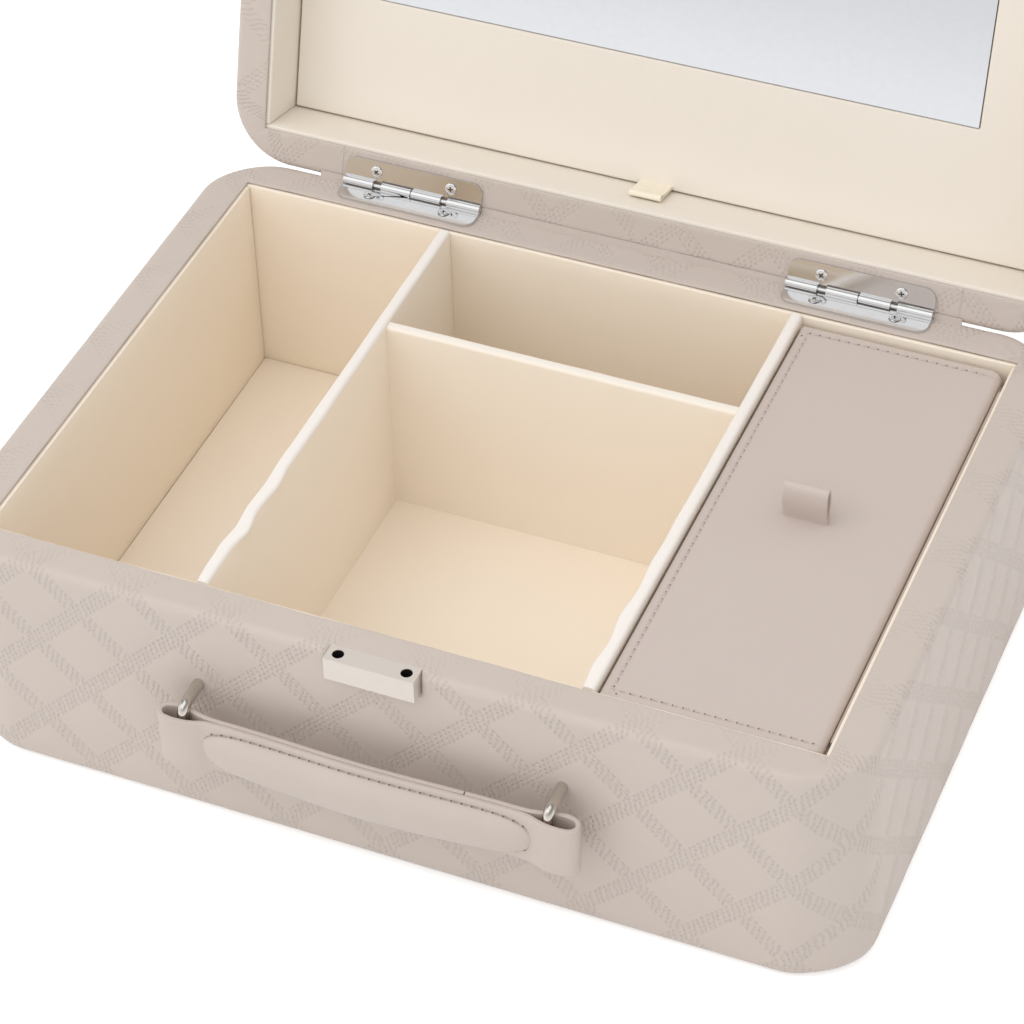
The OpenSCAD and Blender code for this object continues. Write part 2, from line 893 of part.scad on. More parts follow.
module flap_loop() {
    half = 2.1;
    color(rose_taupe)
        translate([flap_loop_x, flap_loop_y, flap_top_z])
            along_x(loop_w)
                difference() {
                    union() {
                        translate([0, loop_h - half])
                            circle(half);
                        polygon([[-half, loop_h - half], [-flap_loop_t - 0.1, 0],
                                 [flap_loop_t + 0.1, 0], [half, loop_h - half]]);
                    }
                    translate([0, loop_h - half])
                        circle(half - flap_loop_t);
                    polygon([[-half + flap_loop_t, loop_h - half], [-0.1, 0.8],
                             [0.1, 0.8], [half - flap_loop_t, loop_h - half]]);
                }
}

// ---------- lid, drawn closed with z = 0 at its rim ----------

lid_board_low = cover_t - rim_swell;
lid_board_high = lid_h - cover_t;

module lid_board_front() {
    color(board_brown) on_lid() long_board(-1, lid_board_low, lid_board_high);
}

module lid_board_back() {
    color(board_brown)
        on_lid()
            difference() {
                long_board(1, lid_board_low, lid_board_high);
                lid_screw_shape(screw_clearance);
            }
}

module lid_board_left() {
    color(board_brown) on_lid() side_board(-1, lid_board_low, lid_board_high);
}

module lid_board_right() {
    color(board_brown) on_lid() side_board(1, lid_board_low, lid_board_high);
}

module lid_board_top() {
    color(board_brown) on_lid() closing_board(lid_board_high - floor_board_t);
}

module lid_corner_posts() {
    color(board_brown) on_lid() corner_posts(lid_board_low, lid_board_high);
}

module lid_screw_shape(extra) {
    translate([0, 0, -rim_swell])
        mirror([0, 0, 1])
            leaf_screws(extra);
}

module lid_hinge_screws() {
    color(bright) on_lid() lid_screw_shape(0);
}

module lid_cover() {
    color(taupe)
        on_lid()
            difference() {
                union() {
                    carried_round(out_w, out_d, corner_r)
                        difference() {
                            rounded_section(0, corner_r, -rim_swell, lid_h, rim_r, edge_r);
                            translate([-1, lid_board_low])
                                square([board_r + 1, lid_board_high - lid_board_low]);
                            mirror([0, 1])
                                rim_tuck(post_w, rim_swell);
                        }
                    translate([0, 0, lid_board_high])
                        rounded_plate(out_w - 2 * corner_r, out_d - 2 * corner_r, cover_t, eps);
                }
                translate([-well_w / 2, -well_d / 2, -1 - rim_swell])
                    cube([well_w, well_d, lid_board_low + 2 + rim_swell]);
                keeper_body(0);
                lid_screw_shape(screw_clearance);
            }
}

module lid_lining_wall(x, y, w, d) {
    color(cream)
        on_lid()
            translate([x, y, 0])
                cube([w, d, lid_open_h]);
}

module lid_lining_front() {
    lid_lining_wall(-well_w / 2, -well_d / 2, well_w, lining_t);
}

module lid_lining_back() {
    lid_lining_wall(-well_w / 2, inside_d / 2, well_w, lining_t);
}

module lid_lining_left() {
    lid_lining_wall(-well_w / 2, -inside_d / 2, lining_t, inside_d);
}

module lid_lining_right() {
    lid_lining_wall(inside_w / 2, -inside_d / 2, lining_t, inside_d);
}

module pocket_lining() {
    color(cream)
        on_lid()
            translate([-well_w / 2, -well_d / 2, lid_open_h])
                cube([well_w, well_d, pocket_lining_t]);
}

// Two battens that the sides of the mirror panel close against.
module panel_ledges() {
    ledge_w = 4;
    color(cream)
        on_lid()
            for (sx = [-1, 1])
                translate([sx * (inside_w - ledge_w) / 2 - ledge_w / 2, -inside_d / 2 + 12, panel_depth + panel_t])
                    cube([ledge_w, inside_d - 24, pocket_depth]);
}

// The lid half of the lock: it meets the block with its two pins in the holes.
keeper_low = lock_top_z + 0.3 - rim_z - 2 * hinge_rise;
keeper_high = lock_h + keeper_low + 2.5;

module keeper_body(extra) {
    translate([-lock_w / 2 - extra, lock_back_y - lock_depth, keeper_low - extra])
        cube([lock_w + 2 * extra, lock_depth, keeper_high - keeper_low + 2 * extra]);
}

module lock_keeper() {
    pin_radius = lock_hole_r - 0.4;
    color(champagne)
        on_lid() {
            keeper_body(0);
            for (sx = [-1, 1])
                translate([sx * lock_gap / 2, lock_hole_y, keeper_low - lock_pin_l + 1])
                    cylinder(r = pin_radius, h = lock_pin_l);
            for (sx = [-1, 1])
                translate([sx * lock_gap / 2, lock_hole_y, keeper_low - lock_pin_l])
                    cylinder(r1 = pin_radius - 0.5, r2 = pin_radius, h = 1);
        }
}

// ---------- mirror panel, on the lid ----------

panel_gap = 0.5;
panel_edge_r = panel_t / 2;
panel_axis_y = -inside_d / 2 + panel_gap + panel_edge_r;
panel_axis_h = panel_depth + panel_edge_r;

// The edge away from the case's hinges is round, and the panel turns about its middle.
module mirror_board() {
    far_y = inside_d / 2 - panel_gap;
    color(cream)
        on_lid()
            difference() {
                along_x(inside_w - 2 * panel_gap) {
                    translate([panel_axis_y, panel_depth])
                        square([far_y - panel_axis_y, panel_t]);
                    translate([panel_axis_y, panel_axis_h])
                        circle(panel_edge_r);
                }
                translate([-mirror_w / 2, -mirror_h / 2, panel_depth - 1])
                    cube([mirror_w, mirror_h, mirror_t + 1]);
            }
}

module mirror_glass() {
    play = 0.2;
    color("#c9d6e2")
        on_lid()
            translate([-mirror_w / 2 + play, -mirror_h / 2 + play, panel_depth])
                cube([mirror_w - 2 * play, mirror_h - 2 * play, mirror_t]);
}

// A ribbon loop that stands out of the panel beside the lower wall of the lid.
module panel_tab() {
    ribbon_t = 1.2;
    wall_gap = 1;
    color(pale)
        on_lid()
            translate([0, inside_d / 2 - wall_gap - ribbon_t / 2, panel_depth - tab_l])
                along_x(tab_w) {
                    translate([-ribbon_t / 2, ribbon_t / 2])
                        square([ribbon_t, tab_l - ribbon_t / 2]);
                    translate([0, ribbon_t / 2])
                        circle(ribbon_t / 2);
                }
}

// Cloth tape that carries the panel, glued to the wall behind it.
module panel_tape() {
    tape_t = 0.5;
    color(pale)
        on_lid()
            translate([-inside_w / 2 + 12, -inside_d / 2, panel_depth + panel_t + 0.3])
                cube([inside_w - 24, tape_t, pocket_depth - 0.3]);
}

base_board_front();
base_board_back();
base_board_left();
base_board_right();
base_board_bottom();
base_corner_posts();
base_cover();
bottom_plate();
lining_front();
lining_back();
lining_left();
lining_right();
lining_floor();
divider_left();
divider_right();
divider_cross();
lock_block();
lock_magnets();
lock_screws();
staple_left();
staple_right();
staple_washers();
hinge_left_base_leaf();
hinge_right_base_leaf();
hinge_pins();
base_hinge_screws();
hinge_strip();
strap_loop_left();
strap_loop_right();
handle_strap();
handle_pad();
box_shell();
box_lining();
box_fold();
flap_board();
flap_liner();
flap_loop();
lid_board_front();
lid_board_back();
lid_board_left();
lid_board_right();
lid_board_top();
lid_corner_posts();
lid_cover();
lid_lining_front();
lid_lining_back();
lid_lining_left();
lid_lining_right();
pocket_lining();
panel_ledges();
lock_keeper();
hinge_left_lid_leaf();
hinge_right_lid_leaf();
lid_hinge_screws();
mirror_board();
mirror_glass();
panel_tab();
panel_tape();
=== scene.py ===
# %% [markdown]
# # A quilted make-up case, open
# The case is made in two steps. The construction is finished before this file starts: every board, hinge
# and lining panel has its real size there. This file dresses it, as the upholsterer does. It only adds
# surfaces, so each new piece is built where the construction says, and rides on the same moving body. Two
# small functions do that for every piece: one puts it in the scene, the other says which node it stands for.

# %% Load the construction
import json
import math

import bmesh
import bpy
import numpy as np
from mathutils import Matrix, Vector, noise

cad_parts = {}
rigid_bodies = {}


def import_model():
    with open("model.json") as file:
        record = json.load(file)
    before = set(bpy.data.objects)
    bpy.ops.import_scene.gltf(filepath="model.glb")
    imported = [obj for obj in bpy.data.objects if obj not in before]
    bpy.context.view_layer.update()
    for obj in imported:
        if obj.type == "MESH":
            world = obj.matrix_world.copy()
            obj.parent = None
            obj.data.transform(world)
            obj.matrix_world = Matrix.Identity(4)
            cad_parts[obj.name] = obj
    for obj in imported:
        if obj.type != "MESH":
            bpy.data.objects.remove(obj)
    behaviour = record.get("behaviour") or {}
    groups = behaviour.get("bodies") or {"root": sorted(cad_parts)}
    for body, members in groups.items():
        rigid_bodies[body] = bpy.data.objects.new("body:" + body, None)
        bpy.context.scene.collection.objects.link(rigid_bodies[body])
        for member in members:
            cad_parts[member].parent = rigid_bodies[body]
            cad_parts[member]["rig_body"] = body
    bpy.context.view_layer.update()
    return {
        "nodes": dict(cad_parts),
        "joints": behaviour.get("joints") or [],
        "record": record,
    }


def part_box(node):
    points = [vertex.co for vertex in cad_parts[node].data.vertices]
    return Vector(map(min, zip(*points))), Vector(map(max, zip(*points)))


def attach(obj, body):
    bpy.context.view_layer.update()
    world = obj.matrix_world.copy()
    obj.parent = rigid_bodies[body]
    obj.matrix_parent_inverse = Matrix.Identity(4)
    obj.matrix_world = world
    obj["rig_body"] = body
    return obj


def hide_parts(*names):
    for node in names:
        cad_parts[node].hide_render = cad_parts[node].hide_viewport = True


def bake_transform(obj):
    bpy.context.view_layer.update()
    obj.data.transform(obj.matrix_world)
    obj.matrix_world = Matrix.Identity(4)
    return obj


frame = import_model()
MM = 0.001
BODY_OF = {n: o["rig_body"] for n, o in frame["nodes"].items()}
SLOT_OF = {s["node"]: s["material_slot"] for s in frame["record"]["subparts"]}


def add_object(name, data):
    """A new object in the scene."""
    thing = bpy.data.objects.new(name, data)
    bpy.context.scene.collection.objects.link(thing)
    return thing


def stand_for(piece, node, rides=True):
    """The piece takes the place of a node, which is hidden; unless rides is False, the piece rides on that node's
    body.
    """
    if rides:
        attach(piece, BODY_OF[node])
    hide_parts(node)

# %% [markdown]
# ## Sizes that the dressing shares
# A padded cover has to start from the very rim that the boards make. The few sizes below are read from the
# construction's own boxes, so that the dressing follows when the construction changes. All lengths in this
# file are in metres, so MM turns a size in millimetres into one.

# %% Read the shared sizes
cover_low, cover_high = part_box("base_cover")
lining_low, lining_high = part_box("lining_right")
OUT_W = cover_high.x - cover_low.x
OUT_D = cover_high.y - cover_low.y
CROWN_Z = cover_high.z
RIM_Z = lining_high.z
WELL_X = lining_high.x
COVER_T = cover_high.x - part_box("base_board_right")[1].x
CORNER_R = 23 * MM
RIM_R = 2.6 * MM
EDGE_R = 4.4 * MM
LIP_T = 0.95 * MM
LIP_REACH = 0.75 * MM
LINING_DROP = 0.75 * MM
WELL_R = CORNER_R - (OUT_W / 2 - WELL_X)
hinge = next(j for j in frame["joints"] if j["name"] == "lid_hinge")
AXIS_Y, AXIS_Z = hinge["pos_m"][1], hinge["pos_m"][2]
LID_ANGLE = math.radians(105.5)
LID_H = 44 * MM
LID_RIM_Z = -0.3 * MM
LID_TURN_Z = LID_H - 0.3 * EDGE_R
BOTTOM_Z = 0.4 * MM
# a point of the closed lid, with z = 0 at its rim, goes to its place on the open lid
ON_LID = (Matrix.Translation((0, AXIS_Y, AXIS_Z)) @ Matrix.Rotation(-LID_ANGLE, 4, "X")
          @ Matrix.Translation((0, -AXIS_Y, AXIS_Z - RIM_Z)))
print("outside", round(OUT_W / MM, 1), "by", round(OUT_D / MM, 1), "mm, rim at", round(CROWN_Z / MM, 1), "mm")

# %% [markdown]
# ## The camera
# The photograph looks down at the case from its front right through a long lens, so its edges stay almost
# parallel. The place, the aim and a small roll were fitted to the straight edges of the case.

# %% Camera
camera_data = bpy.data.cameras.new("camera")
camera_data.lens = 124.8
camera_data.sensor_width = 36
camera_data.clip_start = 0.05
camera_data.clip_end = 20
camera = add_object("camera", camera_data)
eye = Vector((0.3494, -0.7972, 0.8423))
aim = Vector((0.0132, -0.0312, 0.088))
turn = (aim - eye).to_track_quat("-Z", "Y").to_matrix().to_4x4()
roll = math.radians(-1.81)
camera.matrix_world = Matrix.Translation(eye) @ turn @ Matrix.Rotation(roll, 4, "Z")
bpy.context.scene.camera = camera
bpy.context.scene.view_settings.view_transform = "Standard"

# %% [markdown]
# ## Arithmetic on node sockets
# Leather grain and embossed stitches are formulas. Wired by hand they would be dozens of boxes, so a small
# class wraps a socket and lets Python's own operators add the Math nodes. The same class works in a
# material and in a geometry tree, so one formula can raise the padding and draw the stitches on it.

# %% The socket class
class Knot:
    """A value in a node tree. Arithmetic on it adds Math nodes."""

    def __init__(self, tree, socket):
        self.tree, self.socket = tree, socket

    def calc(self, operation, *others):
        node = self.tree.nodes.new("ShaderNodeMath")
        node.operation = operation
        for slot, value in zip(node.inputs, (self, *others)):
            plug(self.tree, slot, value)
        return Knot(self.tree, node.outputs[0])

    def __add__(self, other): return self.calc("ADD", other)
    def __radd__(self, other): return self.calc("ADD", other)
    def __sub__(self, other): return self.calc("SUBTRACT", other)
    def __rsub__(self, other): return (self * -1).calc("ADD", other)
    def __mul__(self, other): return self.calc("MULTIPLY", other)
    def __rmul__(self, other): return self.calc("MULTIPLY", other)
    def __truediv__(self, other): return self.calc("DIVIDE", other)
    def __abs__(self): return self.calc("ABSOLUTE")

    def below(self, edge, soft):
        """1 where the value is under the edge, 0 above it, with a soft step between."""
        return ((edge - self) / soft + 0.5).clamp()

    def clamp(self):
        node = self.tree.nodes.new("ShaderNodeClamp")
        plug(self.tree, node.inputs["Value"], self)
        return Knot(self.tree, node.outputs[0])


def plug(tree, slot, value):
    if isinstance(value, Knot):
        tree.links.new(value.socket, slot)
    else:
        slot.default_value = value


def add_node(tree, kind, settings=None, inputs=None, out=0):
    """One node: its settings first, then the values or links of its sockets."""
    node = tree.nodes.new(kind)
    for name, value in (settings or {}).items():
        setattr(node, name, value)
    for name, value in (inputs or {}).items():
        plug(tree, node.inputs[name], value)
    return Knot(tree, node.outputs[out]) if node.outputs else node


def in_mm(tree, place, *axes):
    """The asked axes of a place, in millimetres."""
    split = tree.nodes.new("ShaderNodeSeparateXYZ")
    plug(tree, split.inputs[0], place)
    return [Knot(tree, split.outputs[axis]) * 1000 for axis in axes]


# %% [markdown]
# ## A material from its parts
# Every finish here is the same shader with different numbers, so one function sets the constants straight
# on the shader, and takes links only for what changes over the surface.

# %% The finish helper
def start_finish(name):
    material = bpy.data.materials.new(name)
    material.use_nodes = True
    material.node_tree.nodes.clear()
    return material, material.node_tree


def end_finish(material, color, roughness, height=None, **constants):
    tree = material.node_tree
    inputs = {"Base Color": color, "Roughness": roughness}
    inputs.update((name.replace("_", " "), value) for name, value in constants.items())
    if height is not None:
        inputs["Normal"] = add_node(tree, "ShaderNodeBump", inputs={"Distance": MM, "Height": height})
    shader = add_node(tree, "ShaderNodeBsdfPrincipled", inputs=inputs)
    add_node(tree, "ShaderNodeOutputMaterial", inputs={0: shader})
    return material


def object_place(tree):
    return add_node(tree, "ShaderNodeTexCoord", out=3)


def speckle(tree, scale, detail=2.0, rough=0.5):
    """Noise round 0.5, with that many bumps to the metre."""
    return add_node(tree, "ShaderNodeTexNoise", {"noise_dimensions": "3D"},
                    {"Vector": object_place(tree), "Scale": scale, "Detail": detail, "Roughness": rough})


def tint(tree, color, deeper, amount):
    """The colour, turned towards a deeper one by an amount from 0 to 1."""
    return add_node(tree, "ShaderNodeMix", {"data_type": "RGBA"},
                    {0: amount, 6: (*color, 1), 7: (*deeper, 1)}, out=2)


# %% [markdown]
# ## The quilt's rule
# Two families of bands cross at right angles and leave diamonds. Along the walls the pattern follows the
# walk round the case and the height, so it runs on over the round corners without a break. A point's
# distance to the nearest band of each family comes from a ruler that starts again at every band: the wrap
# operation.

# %% Distances to the bands
QUILT_STEP = 34.0
DOWN_BAND_AT = 20.4
UP_BAND_AT = 12.8
QUILT_TURN = -0.0082
HALF_ROOT = math.sqrt(0.5)


def band_distances(u, v):
    """How far a place on the cover is to one side of the nearest band of each family, in millimetres."""
    v = v + u * QUILT_TURN
    down = (u + v - DOWN_BAND_AT).calc("WRAP", QUILT_STEP / 2, -QUILT_STEP / 2) * HALF_ROOT
    up = (u - v - UP_BAND_AT).calc("WRAP", QUILT_STEP / 2, -QUILT_STEP / 2) * HALF_ROOT
    return down, up


# %% [markdown]
# ## Quilted leatherette
# Each band is four rows of embossed stitches. A row is a soft groove with short raised stitches in it, and
# the dimples between them have painted shade, and so have the seam creases of the lid. Each row starts half a
# stitch later than its neighbour, which makes the band look like rope. One family runs through, the other stops
# where they cross. The stitches are under half a millimetre, so they are bump, and the puffed diamonds are real
# shape.

# %% Quilted leatherette
TAUPE = (0.600, 0.523, 0.470)
TAUPE_DEEP = (0.46, 0.385, 0.33)
ROW_GAP = 1.5
ROW_HALF = 0.52
STITCH_STEP = 2.2
ROW_LAG = 0.58
BAND_HALF = 3.0
RIM_SEAM_FROM = -2.0


def stitch_rows(across, along):
    """Height in millimetres, and painted shade in the dimples, of the rows of one family."""
    away = abs(across)
    row = (away - ROW_GAP / 2).calc("PINGPONG", ROW_GAP / 2)
    groove = row.below(ROW_HALF, 0.6) * away.below(BAND_HALF, 0.5)
    place = (along + across * ROW_LAG).calc("PINGPONG", STITCH_STEP / 2)
    dimple = 1 - place.below(STITCH_STEP * 0.34, 0.6)
    height = groove * (place.below(STITCH_STEP * 0.32, 0.8) * 0.22 - 0.25 - dimple * 0.06)
    return height, groove * dimple


def fine_grain(tree):
    return speckle(tree, 1100.0, 2.0) * 0.07


def quilted_leatherette(name, seams=()):
    material, tree = start_finish(name)
    u, v = in_mm(tree, add_node(tree, "ShaderNodeUVMap", {"uv_map": "quilt"}), 0, 1)
    strength = add_node(tree, "ShaderNodeAttribute", {"attribute_name": "quilt_strength"}, out=2)
    down, up = band_distances(u, v)
    uneven = speckle(tree, 300.0, 0.0)
    late = uneven * 1.8
    up_height, up_dark = stitch_rows(up, (u + v) * HALF_ROOT + late)
    down_height, down_dark = stitch_rows(down, (u - v) * HALF_ROOT + late)
    free = 1 - abs(up).below(BAND_HALF, 0.4)
    rows = (up_height + down_height * free) * strength
    # painted shade: the dimples of the stitch rows are coloured darker
    dark = (up_dark + down_dark * free) * strength
    crease = sum(abs(u - at).below(0.22, 0.25) * (v - RIM_SEAM_FROM).below(0, -0.5) for at in seams)
    height = rows + fine_grain(tree)
    if seams:
        height = height - crease * 0.16
        dark = dark + crease * 1.2
    # painted shade in the stitch dimples and the seam creases, mixed with random tone
    shade = (dark * 0.08 + speckle(tree, 22.0, 0.0) * 0.10).clamp()
    color = tint(tree, TAUPE, TAUPE_DEEP, shade)
    roughness = 0.44 + uneven * 0.12
    return end_finish(material, color, roughness, height, Specular_IOR_Level=0.42)


quilted = quilted_leatherette("quilted leatherette")

# %% [markdown]
# ## The other finishes
# The strap and the lift-out box are the same leatherette without embossing, the box a little pinker. The
# lining is a cream sheet with hardly any grain. Metal shows what is round it, so its own colour matters
# less than its roughness and the faint wear that breaks up the reflection.

# %% Plain leather, lining, metal, mirror, board
def plain_leather(name, color, deeper, rough=0.46, grain=1.0, wrinkle=0.05):
    material, tree = start_finish(name)
    shade = speckle(tree, 40.0, 1.0)
    height = fine_grain(tree) * grain + speckle(tree, 220.0, 1.0) * wrinkle
    return end_finish(material, tint(tree, color, deeper, shade * 0.35),
                      rough + speckle(tree, 260.0, 0.0) * 0.10, height, Specular_IOR_Level=0.42)


def plated_metal(name, color, rough, wear=0.06, bump=0.004):
    material, tree = start_finish(name)
    rub = speckle(tree, 420.0, 4.0)
    return end_finish(material, tint(tree, color, tuple(c * 0.86 for c in color), rub * 0.5),
                      rough + rub * wear, speckle(tree, 120.0) * bump, Metallic=1.0)


strap_leather = plain_leather("strap leather", TAUPE, TAUPE_DEEP, wrinkle=0.10)
BOX_TAUPE, BOX_DEEP = (0.605, 0.520, 0.472), (0.545, 0.46, 0.41)
box_leather = plain_leather("box leather", BOX_TAUPE, BOX_DEEP, rough=0.42, grain=0.5, wrinkle=0.02)
cream = plain_leather("cream lining", (0.945, 0.848, 0.722), (0.925, 0.818, 0.685),
                      rough=0.50, grain=0.45, wrinkle=0.03)
cream_panel = plain_leather("cream panel", (0.85, 0.785, 0.70), (0.825, 0.76, 0.665),
                            rough=0.48, grain=0.4, wrinkle=0.02)
bright_metal = plated_metal("bright plate", (0.74, 0.74, 0.745), 0.07)
staple_metal = plated_metal("staple plate", (0.66, 0.62, 0.57), 0.13)


def lock_finish():
    """Satin plate. The insides of the two holes are painted near black, as shade."""
    material, tree = start_finish("satin champagne plate")
    x, y, z = in_mm(tree, object_place(tree), 0, 1, 2)
    low, high = (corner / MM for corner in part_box("lock_magnets"))
    half = (high.y - low.y) / 2
    across = (abs(x - (low.x + high.x) / 2) - ((high.x - low.x) / 2 - half)).calc("POWER", 2.0)
    depth = (y - (low.y + high.y) / 2).calc("POWER", 2.0)
    under_top = z.below(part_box("lock_block")[1].z / MM - 0.25, 0.2)
    # painted shade: below the top face, the insides of the holes are coloured near black
    hole = (across + depth).calc("SQRT").below(half + 0.35, 0.1) * under_top
    rub = speckle(tree, 420.0, 4.0)
    color = tint(tree, (0.72, 0.655, 0.595), (0.015, 0.013, 0.012), (hole + rub * 0.06).clamp())
    return end_finish(material, color, 0.36 + rub * 0.05 + hole * 0.4, speckle(tree, 900.0) * 0.01, Metallic=0.2)


lock_metal = lock_finish()
magnet_metal = plain_leather("dark magnet", (0.012, 0.011, 0.011), (0.02, 0.02, 0.02), rough=0.6)
hidden_steel = plated_metal("plain steel", (0.50, 0.50, 0.50), 0.3)
silvering = plated_metal("mirror silvering", (0.575, 0.585, 0.605), 0.012, wear=0.0, bump=0.0)


def divider_finish():
    """A pale cut edge on a card whose faces are the lining's cream."""
    material, tree = start_finish("divider wrap")
    z, = in_mm(tree, object_place(tree), 2)
    edge = z.below(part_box("divider_left")[1].z / MM - 1.4, -1.2)
    color = tint(tree, (0.938, 0.850, 0.735), (0.90, 0.85, 0.80), edge)
    return end_finish(material, color, 0.5, fine_grain(tree) * 0.45, Specular_IOR_Level=0.4)


divider_wrap = divider_finish()


def pressed_fibre(name, color):
    material, tree = start_finish(name)
    fibres = speckle(tree, 700.0, 6.0, 0.7)
    return end_finish(material, tint(tree, color, tuple(c * 0.6 for c in color), fibres), 0.85, fibres * 0.2)


def ribbon_weave(name, color):
    """Threads cross at right angles: two folded rulers of half a millimetre."""
    material, tree = start_finish(name)
    across, along = ((threads * 2).calc("PINGPONG", 0.5) for threads in in_mm(tree, object_place(tree), 0, 2))
    weave = across * along * 4
    return end_finish(material, tint(tree, tuple(c * 0.93 for c in color), color, weave), 0.7, weave * 0.03)


def thread(name, color):
    material, tree = start_finish(name)
    twist = speckle(tree, 2600.0, 2.0)
    return end_finish(material, tint(tree, color, tuple(c * 0.6 for c in color), twist), 0.6, twist * 0.05)


board = pressed_fibre("fibreboard", (0.46, 0.33, 0.21))
ribbon = ribbon_weave("pull tab ribbon", (0.965, 0.89, 0.73))
taupe_thread = thread("taupe thread", (0.52, 0.44, 0.385))
# painted shadow: dark beads that stand for the shade in the needle holes
needle_hole_shadow = thread("needle hole shadow", (0.20, 0.16, 0.13))
rose_thread = thread("rose thread", (0.68, 0.59, 0.54))
rose_shadow = thread("rose needle hole shadow", (0.28, 0.22, 0.19))

# %% [markdown]
# ## Meshes from numbers
# Covers, straps and panels are surfaces that a rule describes, so their points are worked out in numpy and
# handed to one function. It checks which way the closed surface faces, and turns it if it is inside out.
# Three shapes come again and again: the squares of a grid, an arc, and a section carried along as a tube.

# %% The mesh helpers
WELD = 1e-6


def make_piece(name, points, faces, material, uv=None, values=None):
    mesh = bpy.data.meshes.new(name)
    mesh.from_pydata([tuple(p) for p in points], [], faces)
    piece = add_object(name, mesh)
    mesh.materials.append(material)
    if uv is not None:
        layer = mesh.uv_layers.new(name="quilt")
        layer.data.foreach_set("uv", np.asarray(uv, np.float32).ravel())
    for key, column in (values or {}).items():
        attribute = mesh.attributes.new(key, "FLOAT", "POINT")
        attribute.data.foreach_set("value", np.asarray(column, np.float32))
    face_outwards(mesh)
    mesh.shade_smooth()
    return piece


def face_outwards(mesh):
    """Turns a closed mesh whose signed volume says that it is inside out."""
    work = bmesh.new()
    work.from_mesh(mesh)
    if work.calc_volume(signed=True) < 0:
        bmesh.ops.reverse_faces(work, faces=work.faces)
        work.to_mesh(mesh)
    work.free()


def dissolve_flat(mesh):
    """Joins the loose triangles of a mesh into its flat faces."""
    work = bmesh.new()
    work.from_mesh(mesh)
    bmesh.ops.remove_doubles(work, verts=work.verts, dist=2 * WELD)
    bmesh.ops.dissolve_limit(work, angle_limit=math.radians(0.6), verts=work.verts, edges=work.edges)
    work.to_mesh(mesh)
    work.free()


def weld(mesh, distance):
    """Joins points that lie together, and counts the edges that are still open."""
    work = bmesh.new()
    work.from_mesh(mesh)
    bmesh.ops.remove_doubles(work, verts=work.verts, dist=distance)
    open_edges = sum(len(edge.link_faces) != 2 for edge in work.edges)
    work.to_mesh(mesh)
    work.free()
    return open_edges


def grid_faces(index):
    """The squares between the points of a grid."""
    return np.stack([index[:-1, :-1], index[1:, :-1], index[1:, 1:], index[:-1, 1:]], -1).reshape(-1, 4)


def arc_points(x, y, radius, start, end, count):
    """Points on an arc about a centre, from one angle in degrees to another."""
    angles = np.radians(np.linspace(start, end, count))
    return [(x + radius * math.cos(a), y + radius * math.sin(a)) for a in angles]


def tube_faces(stations, around):
    """The faces of a closed section carried over the stations, with both ends closed."""
    index = np.arange(stations * around).reshape(stations, around)
    a, b = index[:-1], index[1:]
    faces = np.stack([a, b, np.roll(b, -1, 1), np.roll(a, -1, 1)], -1).reshape(-1, 4).tolist()
    return faces + [index[0].tolist(), index[-1][::-1].tolist()]


def sharpen(piece, degrees):
    """Smooth shading, apart from the edges that turn more than this."""
    piece.data.shade_smooth()
    piece.data.set_sharp_from_angle(angle=math.radians(degrees))
    return piece


def bake_modifiers(piece):
    """The piece as its modifiers leave it, as a plain mesh."""
    bpy.context.view_layer.update()
    depsgraph = bpy.context.evaluated_depsgraph_get()
    mesh = bpy.data.meshes.new_from_object(piece.evaluated_get(depsgraph), depsgraph=depsgraph)
    piece.modifiers.clear()
    piece.data = mesh
    return piece


# %% [markdown]
# ## Rounded edges for the hard pieces
# A real stamped leaf or lock block has a small round on every edge, and that is where it catches the light.
# The construction has sharp edges, so a copy of its shape gets its loose triangles joined, and a bevel. The
# bevel's hardened normals keep the big faces flat: a mirror shows any error there at once.

# %% A copy of a node with eased edges
def eased_copy(node, name, material, width, segments=3, angle=32, rides=True):
    mesh = frame["nodes"][node].data.copy()
    for stored in ("custom_normal", "sharp_face", "sharp_edge"):
        if stored in mesh.attributes:
            mesh.attributes.remove(mesh.attributes[stored])
    dissolve_flat(mesh)
    mesh.materials.clear()
    mesh.materials.append(material)
    piece = sharpen(add_object(name, mesh), angle)
    bevel = piece.modifiers.new("eased edges", "BEVEL")
    bevel.width = width
    bevel.segments = segments
    bevel.limit_method = "ANGLE"
    bevel.angle_limit = math.radians(angle)
    bevel.harden_normals = True
    bake_modifiers(piece)
    stand_for(piece, node, rides)
    return piece


# %% [markdown]
# ## The walk round the case
# Both covers are a section carried round a rounded rectangle. The walk gives, for each step, the centre
# that the section turns about, the direction it faces and the distance gone, from the middle of the back.

# %% The walk
STEP = 1.25 * MM


def walk_round(width, depth, radius):
    half_w, half_d = width / 2 - radius, depth / 2 - radius
    stops = [(0, half_d), (-half_w, half_d), (-half_w, -half_d), (half_w, -half_d), (half_w, half_d), (0, half_d)]
    centres, angles, gone = [], [], []
    distance = 0.0
    for index, (start, end, facing) in enumerate(zip(stops, stops[1:], (90, 180, 270, 0, 90))):
        length = math.dist(start, end)
        count = max(1, round(length / STEP))
        for i in range(count):
            t = i / count
            centres.append((start[0] + (end[0] - start[0]) * t, start[1] + (end[1] - start[1]) * t))
            angles.append(math.radians(facing))
            gone.append(distance + length * t)
        distance += length
        if index < 4:
            arc = radius * math.pi / 2
            steps = 2 * round(arc / STEP / 2)
            for i in range(steps):
                centres.append(end)
                angles.append(math.radians(facing + 90 * i / steps))
                gone.append(distance + arc * i / steps)
            distance += arc
    centres, angles, gone = np.array(centres), np.array(angles), np.array(gone)
    return centres, np.stack([np.cos(angles), np.sin(angles)], 1), gone - distance / 2, distance


